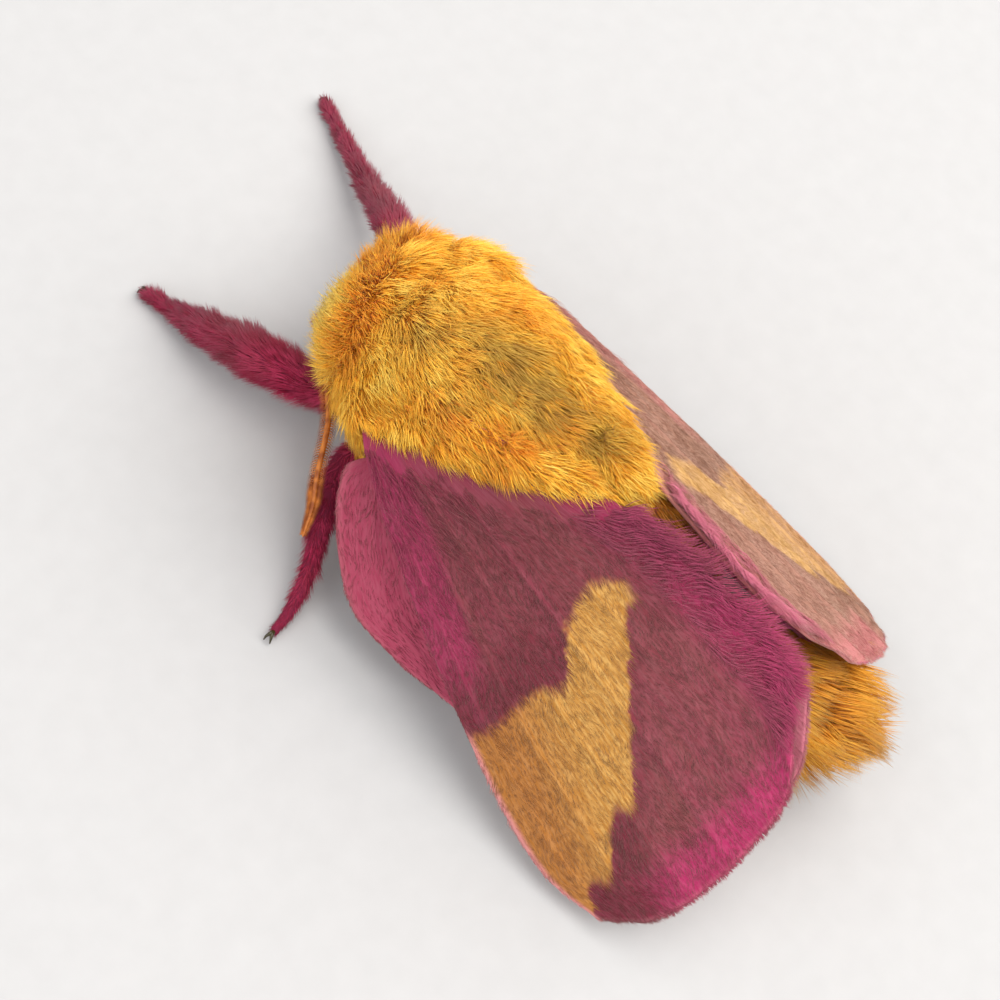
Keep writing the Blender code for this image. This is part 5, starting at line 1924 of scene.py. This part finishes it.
# %% Long hair of the forewings
def long_hair(wing, seed):
    """The forewing's long fine hair near its root and along its inner edge."""
    column, row = wing_places(
        wing, ROOT_COUNT, lambda c, r: np.clip((ROOT_REACH - r) / ROOT_FADE, 0.0, 1.0))
    coats = [wing_tufts(wing, column, row, seed, **ROOT_KIND)]
    column = 1.0 - INNER_DEPTH * draw.random(INNER_COUNT) ** INNER_POWERS[0]
    row = draw.random(INNER_COUNT) ** INNER_POWERS[1] * INNER_END
    pink = INNER_PINK_AND_LIGHT[wing.side]
    coats.append(wing_tufts(wing, column, row, seed + 1, pink=pink, **INNER_KIND))
    places = EDGE_PLACES[wing.side]
    column = 1.0 - places["depth"] * draw.random(places["count"])
    row = EDGE_START + draw.random(places["count"]) * EDGE_REACH
    coats.append(wing_tufts(wing, column, row, seed + 2, **EDGE_KINDS[wing.side]))
    return stack_coats(coats)


WING_MAPS = ("WingPlan", "WingEdge")
VELVET_SEED, HAIR_SEED, SEED_STEP = 100, 105, 10
for index, wing in enumerate(WINGS):
    finish = finish_of(wing, True)
    scales = velvet(wing, VELVET_SEED + SEED_STEP * index)
    build_tufts("coat_" + wing.name, scales, finish, WING_MAPS)
    if wing.is_fore:
        hair = long_hair(wing, HAIR_SEED + SEED_STEP * index)
        build_tufts("hair_" + wing.name, hair, finish, WING_MAPS)
print("wing coats done")

# %% [markdown]
# ## Eyes
# A moth's eye is a ball of thousands of facets, dark and glossy. A finer ball takes the place of
# the solid's, at the same place and size, and a pattern of cells gives the facets.

# %% Eyes
EYE_SEGMENTS, EYE_RINGS = 48, 32
FACET_SCALE = 16000.0
FACET_RIM = (0.0, 0.2)
EYE_DARK, EYE_LIGHT = colour(22, 14, 12), colour(58, 40, 30)


def eye_finish():
    finish = Finish("eye_facets", roughness=0.22, specular=0.6)
    inputs = {"Vector": finish.place(), "Scale": FACET_SCALE}
    facets = finish.add("ShaderNodeTexVoronoi", inputs, feature="DISTANCE_TO_EDGE")
    finish.bump(facets, strength=0.5, distance=0.00002)
    return finish.colour(finish.mix(finish.ease(facets, *FACET_RIM), EYE_DARK, EYE_LIGHT))


EYE_FINISH = eye_finish()
for side in ("left", "right"):
    low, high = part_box("eye_" + side)
    eye = add_ball((low + high) / 2, (high - low) / 2, EYE_SEGMENTS, EYE_RINGS)
    bpy.ops.object.shade_smooth()
    eye.name = "eye_ball_" + side
    eye.data.materials.append(EYE_FINISH)
    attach(eye, "root")
    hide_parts("eye_" + side)
print("eyes are", round((high - low).x / MM, 2), "mm across")

# %% [markdown]
# ## Feelers
# The feelers are flat combs, orange-brown, laid back along the flanks. The shaft is a tapered
# tube along a curve, and short teeth stand on both sides of it.

# %% Feelers
ANTENNA_PATH = (
    (0.8, -6.4, 5.0), (1.7, -5.7, 4.9), (2.6, -4.7, 4.3), (3.8, -3.2, 3.9), (5.5, -1.9, 3.4),
    (6.3, -1.2, 2.9), (7.3, -0.6, 2.5))
SHAFT_RADIUS = 0.13
SHAFT_SHARES, SHAFT_TAPER = (0.0, 0.08, 0.7, 1.0), (1.5, 1.0, 0.8, 0.35)
TOOTH_PAIRS = 120
TOOTH_FIRST, TOOTH_LAST = 0.07, 0.985
TOOTH_STEP = 0.02
KNEE_OUT, KNEE_ON, KNEE_SHARE = 0.80, 0.25, 0.55
TIP_OUT, TIP_ON = 0.85, 0.55
TOOTH_LENGTH, TOOTH_WIDTH = 0.46, 0.07
TOOTH_SHARES, TOOTH_TAPER = (0.0, 0.15, 0.75, 1.0), (0.5, 1.0, 0.95, 0.4)
COMB_TILT = 0.35
FEELER_GRAIN = 3000.0
FEELER_DARK, FEELER_LIGHT = colour(142, 70, 24), colour(204, 122, 48)


def feeler_finish():
    finish = Finish("feeler_comb", roughness=0.5, specular=0.35)
    grain = finish.noise(finish.place(), FEELER_GRAIN, detail=2.0)
    finish.bump(grain, strength=0.3, distance=0.00003)
    return finish.colour(finish.mix(finish.ease(grain, 0.3, 0.7), FEELER_DARK, FEELER_LIGHT))


FEELER_FINISH = feeler_finish()


def comb_teeth(line, side):
    """The arrays of a feeler's teeth, which are built as tufts with two rings."""
    shares = np.repeat(np.linspace(TOOTH_FIRST, TOOTH_LAST, TOOTH_PAIRS), 2)
    turns = np.tile((1.0, -1.0), TOOTH_PAIRS)
    roots = read_line(line, shares)
    ahead, behind = np.minimum(shares + TOOTH_STEP, 1.0), shares - TOOTH_STEP
    along = unit(read_line(line, ahead) - read_line(line, behind))
    upright = np.array((COMB_TILT * side, 0.0, 1.0))
    up = unit(upright - along * (along @ upright)[:, None])
    across = np.cross(along, up) * turns[:, None]
    long = TOOTH_LENGTH * np.interp(shares, TOOTH_SHARES, TOOTH_TAPER)[:, None]
    middle = roots + (across * KNEE_OUT + along * KNEE_ON) * long * KNEE_SHARE
    tips = roots + (across * TIP_OUT + along * TIP_ON) * long
    count = len(roots)
    return {
        "paths": np.stack((roots, middle, tips), axis=1), "sides": along, "ups": up,
        "widths": np.full(count, TOOTH_WIDTH), "Tone": draw.random(count),
        "Mark": np.zeros(count),
        "bake": np.stack((0.5 + 0.2 * turns, 0.05 + 0.9 * shares), axis=-1)}


def build_feeler(side_name, side):
    line = smooth_line(np.array(ANTENNA_PATH) * (side, 1.0, 1.0), TUBE_STEPS)
    taper = np.interp(np.linspace(0, 1, TUBE_STEPS), SHAFT_SHARES, SHAFT_TAPER)
    shaft = add_tube(line, SHAFT_RADIUS * taper, roundness=3)
    shaft.name = "feeler_" + side_name
    shaft.data.materials.append(FEELER_FINISH)
    teeth_name = "feeler_teeth_" + side_name
    teeth = build_part(teeth_name, comb_teeth(line, side), 2, FEELER_FINISH)
    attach(shaft, "root")
    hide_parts("antenna_" + side_name)


for side_name, side in (("left", 1.0), ("right", -1.0)):
    build_feeler(side_name, side)
print("feelers with", 2 * TOOTH_PAIRS, "teeth each")

# %% [markdown]
# ## Claws
# Each foot ends in a pair of dark, shining hooks. A hook is a thin curved tube that tapers to its
# point.

# %% Claws
CLAW_START, CLAW_LIFT = 0.15, 0.02
CLAW_HOOK = ((0.10, 0.14), (0.26, 0.06), (0.34, -0.16))
CLAW_SPREAD = 0.45
CLAW_STEPS = 14
CLAW_BASE, CLAW_POINT = 0.10, 0.03
CLAW_GRAIN = 4000.0
CLAW_DARK, CLAW_LIGHT = colour(26, 22, 8), colour(70, 62, 26)


def claw_finish():
    finish = Finish("claw_horn", roughness=0.25, specular=0.55)
    grain = finish.noise(finish.place(), CLAW_GRAIN, detail=2.0)
    return finish.colour(finish.mix(grain, CLAW_DARK, CLAW_LIGHT))


CLAW_FINISH = claw_finish()


def build_claws(name, path):
    """Two hooks that rise from the end of the foot and bend down to the floor."""
    foot = np.array(path[-1])
    ahead = unit(foot - np.array(path[-2]))
    ahead = unit(ahead * (1.0, 1.0, 0.0))
    aside = np.cross(ahead, (0.0, 0.0, 1.0))
    widths = np.linspace(CLAW_BASE, CLAW_POINT, CLAW_STEPS)
    hooks = []
    for turn in (-1.0, 1.0):
        aim = unit(ahead + aside * CLAW_SPREAD * turn)
        line = [foot - ahead * CLAW_START + (0, 0, CLAW_LIFT)]
        line += [foot + aim * out + (0, 0, height) for out, height in CLAW_HOOK]
        hooks.append(add_tube(smooth_line(line, CLAW_STEPS), widths, roundness=3))
    claws = join_pieces("claws_" + name, hooks)
    bpy.ops.object.shade_smooth()
    claws.data.materials.append(CLAW_FINISH)
    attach(claws, "root")


for leg_name, leg_path in LEG_PATHS.items():
    build_claws(leg_name, leg_path)
print("claws on", len(LEG_PATHS), "feet")

# %% [markdown]
# ## The end
# At the end the script counts the triangles of the shown pieces.

# %% Finish
meshes = [piece.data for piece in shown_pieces() if piece.type == "MESH"]
total = sum(len(mesh.loop_triangles) or len(mesh.polygons) for mesh in meshes)
print("triangles, about:", total)
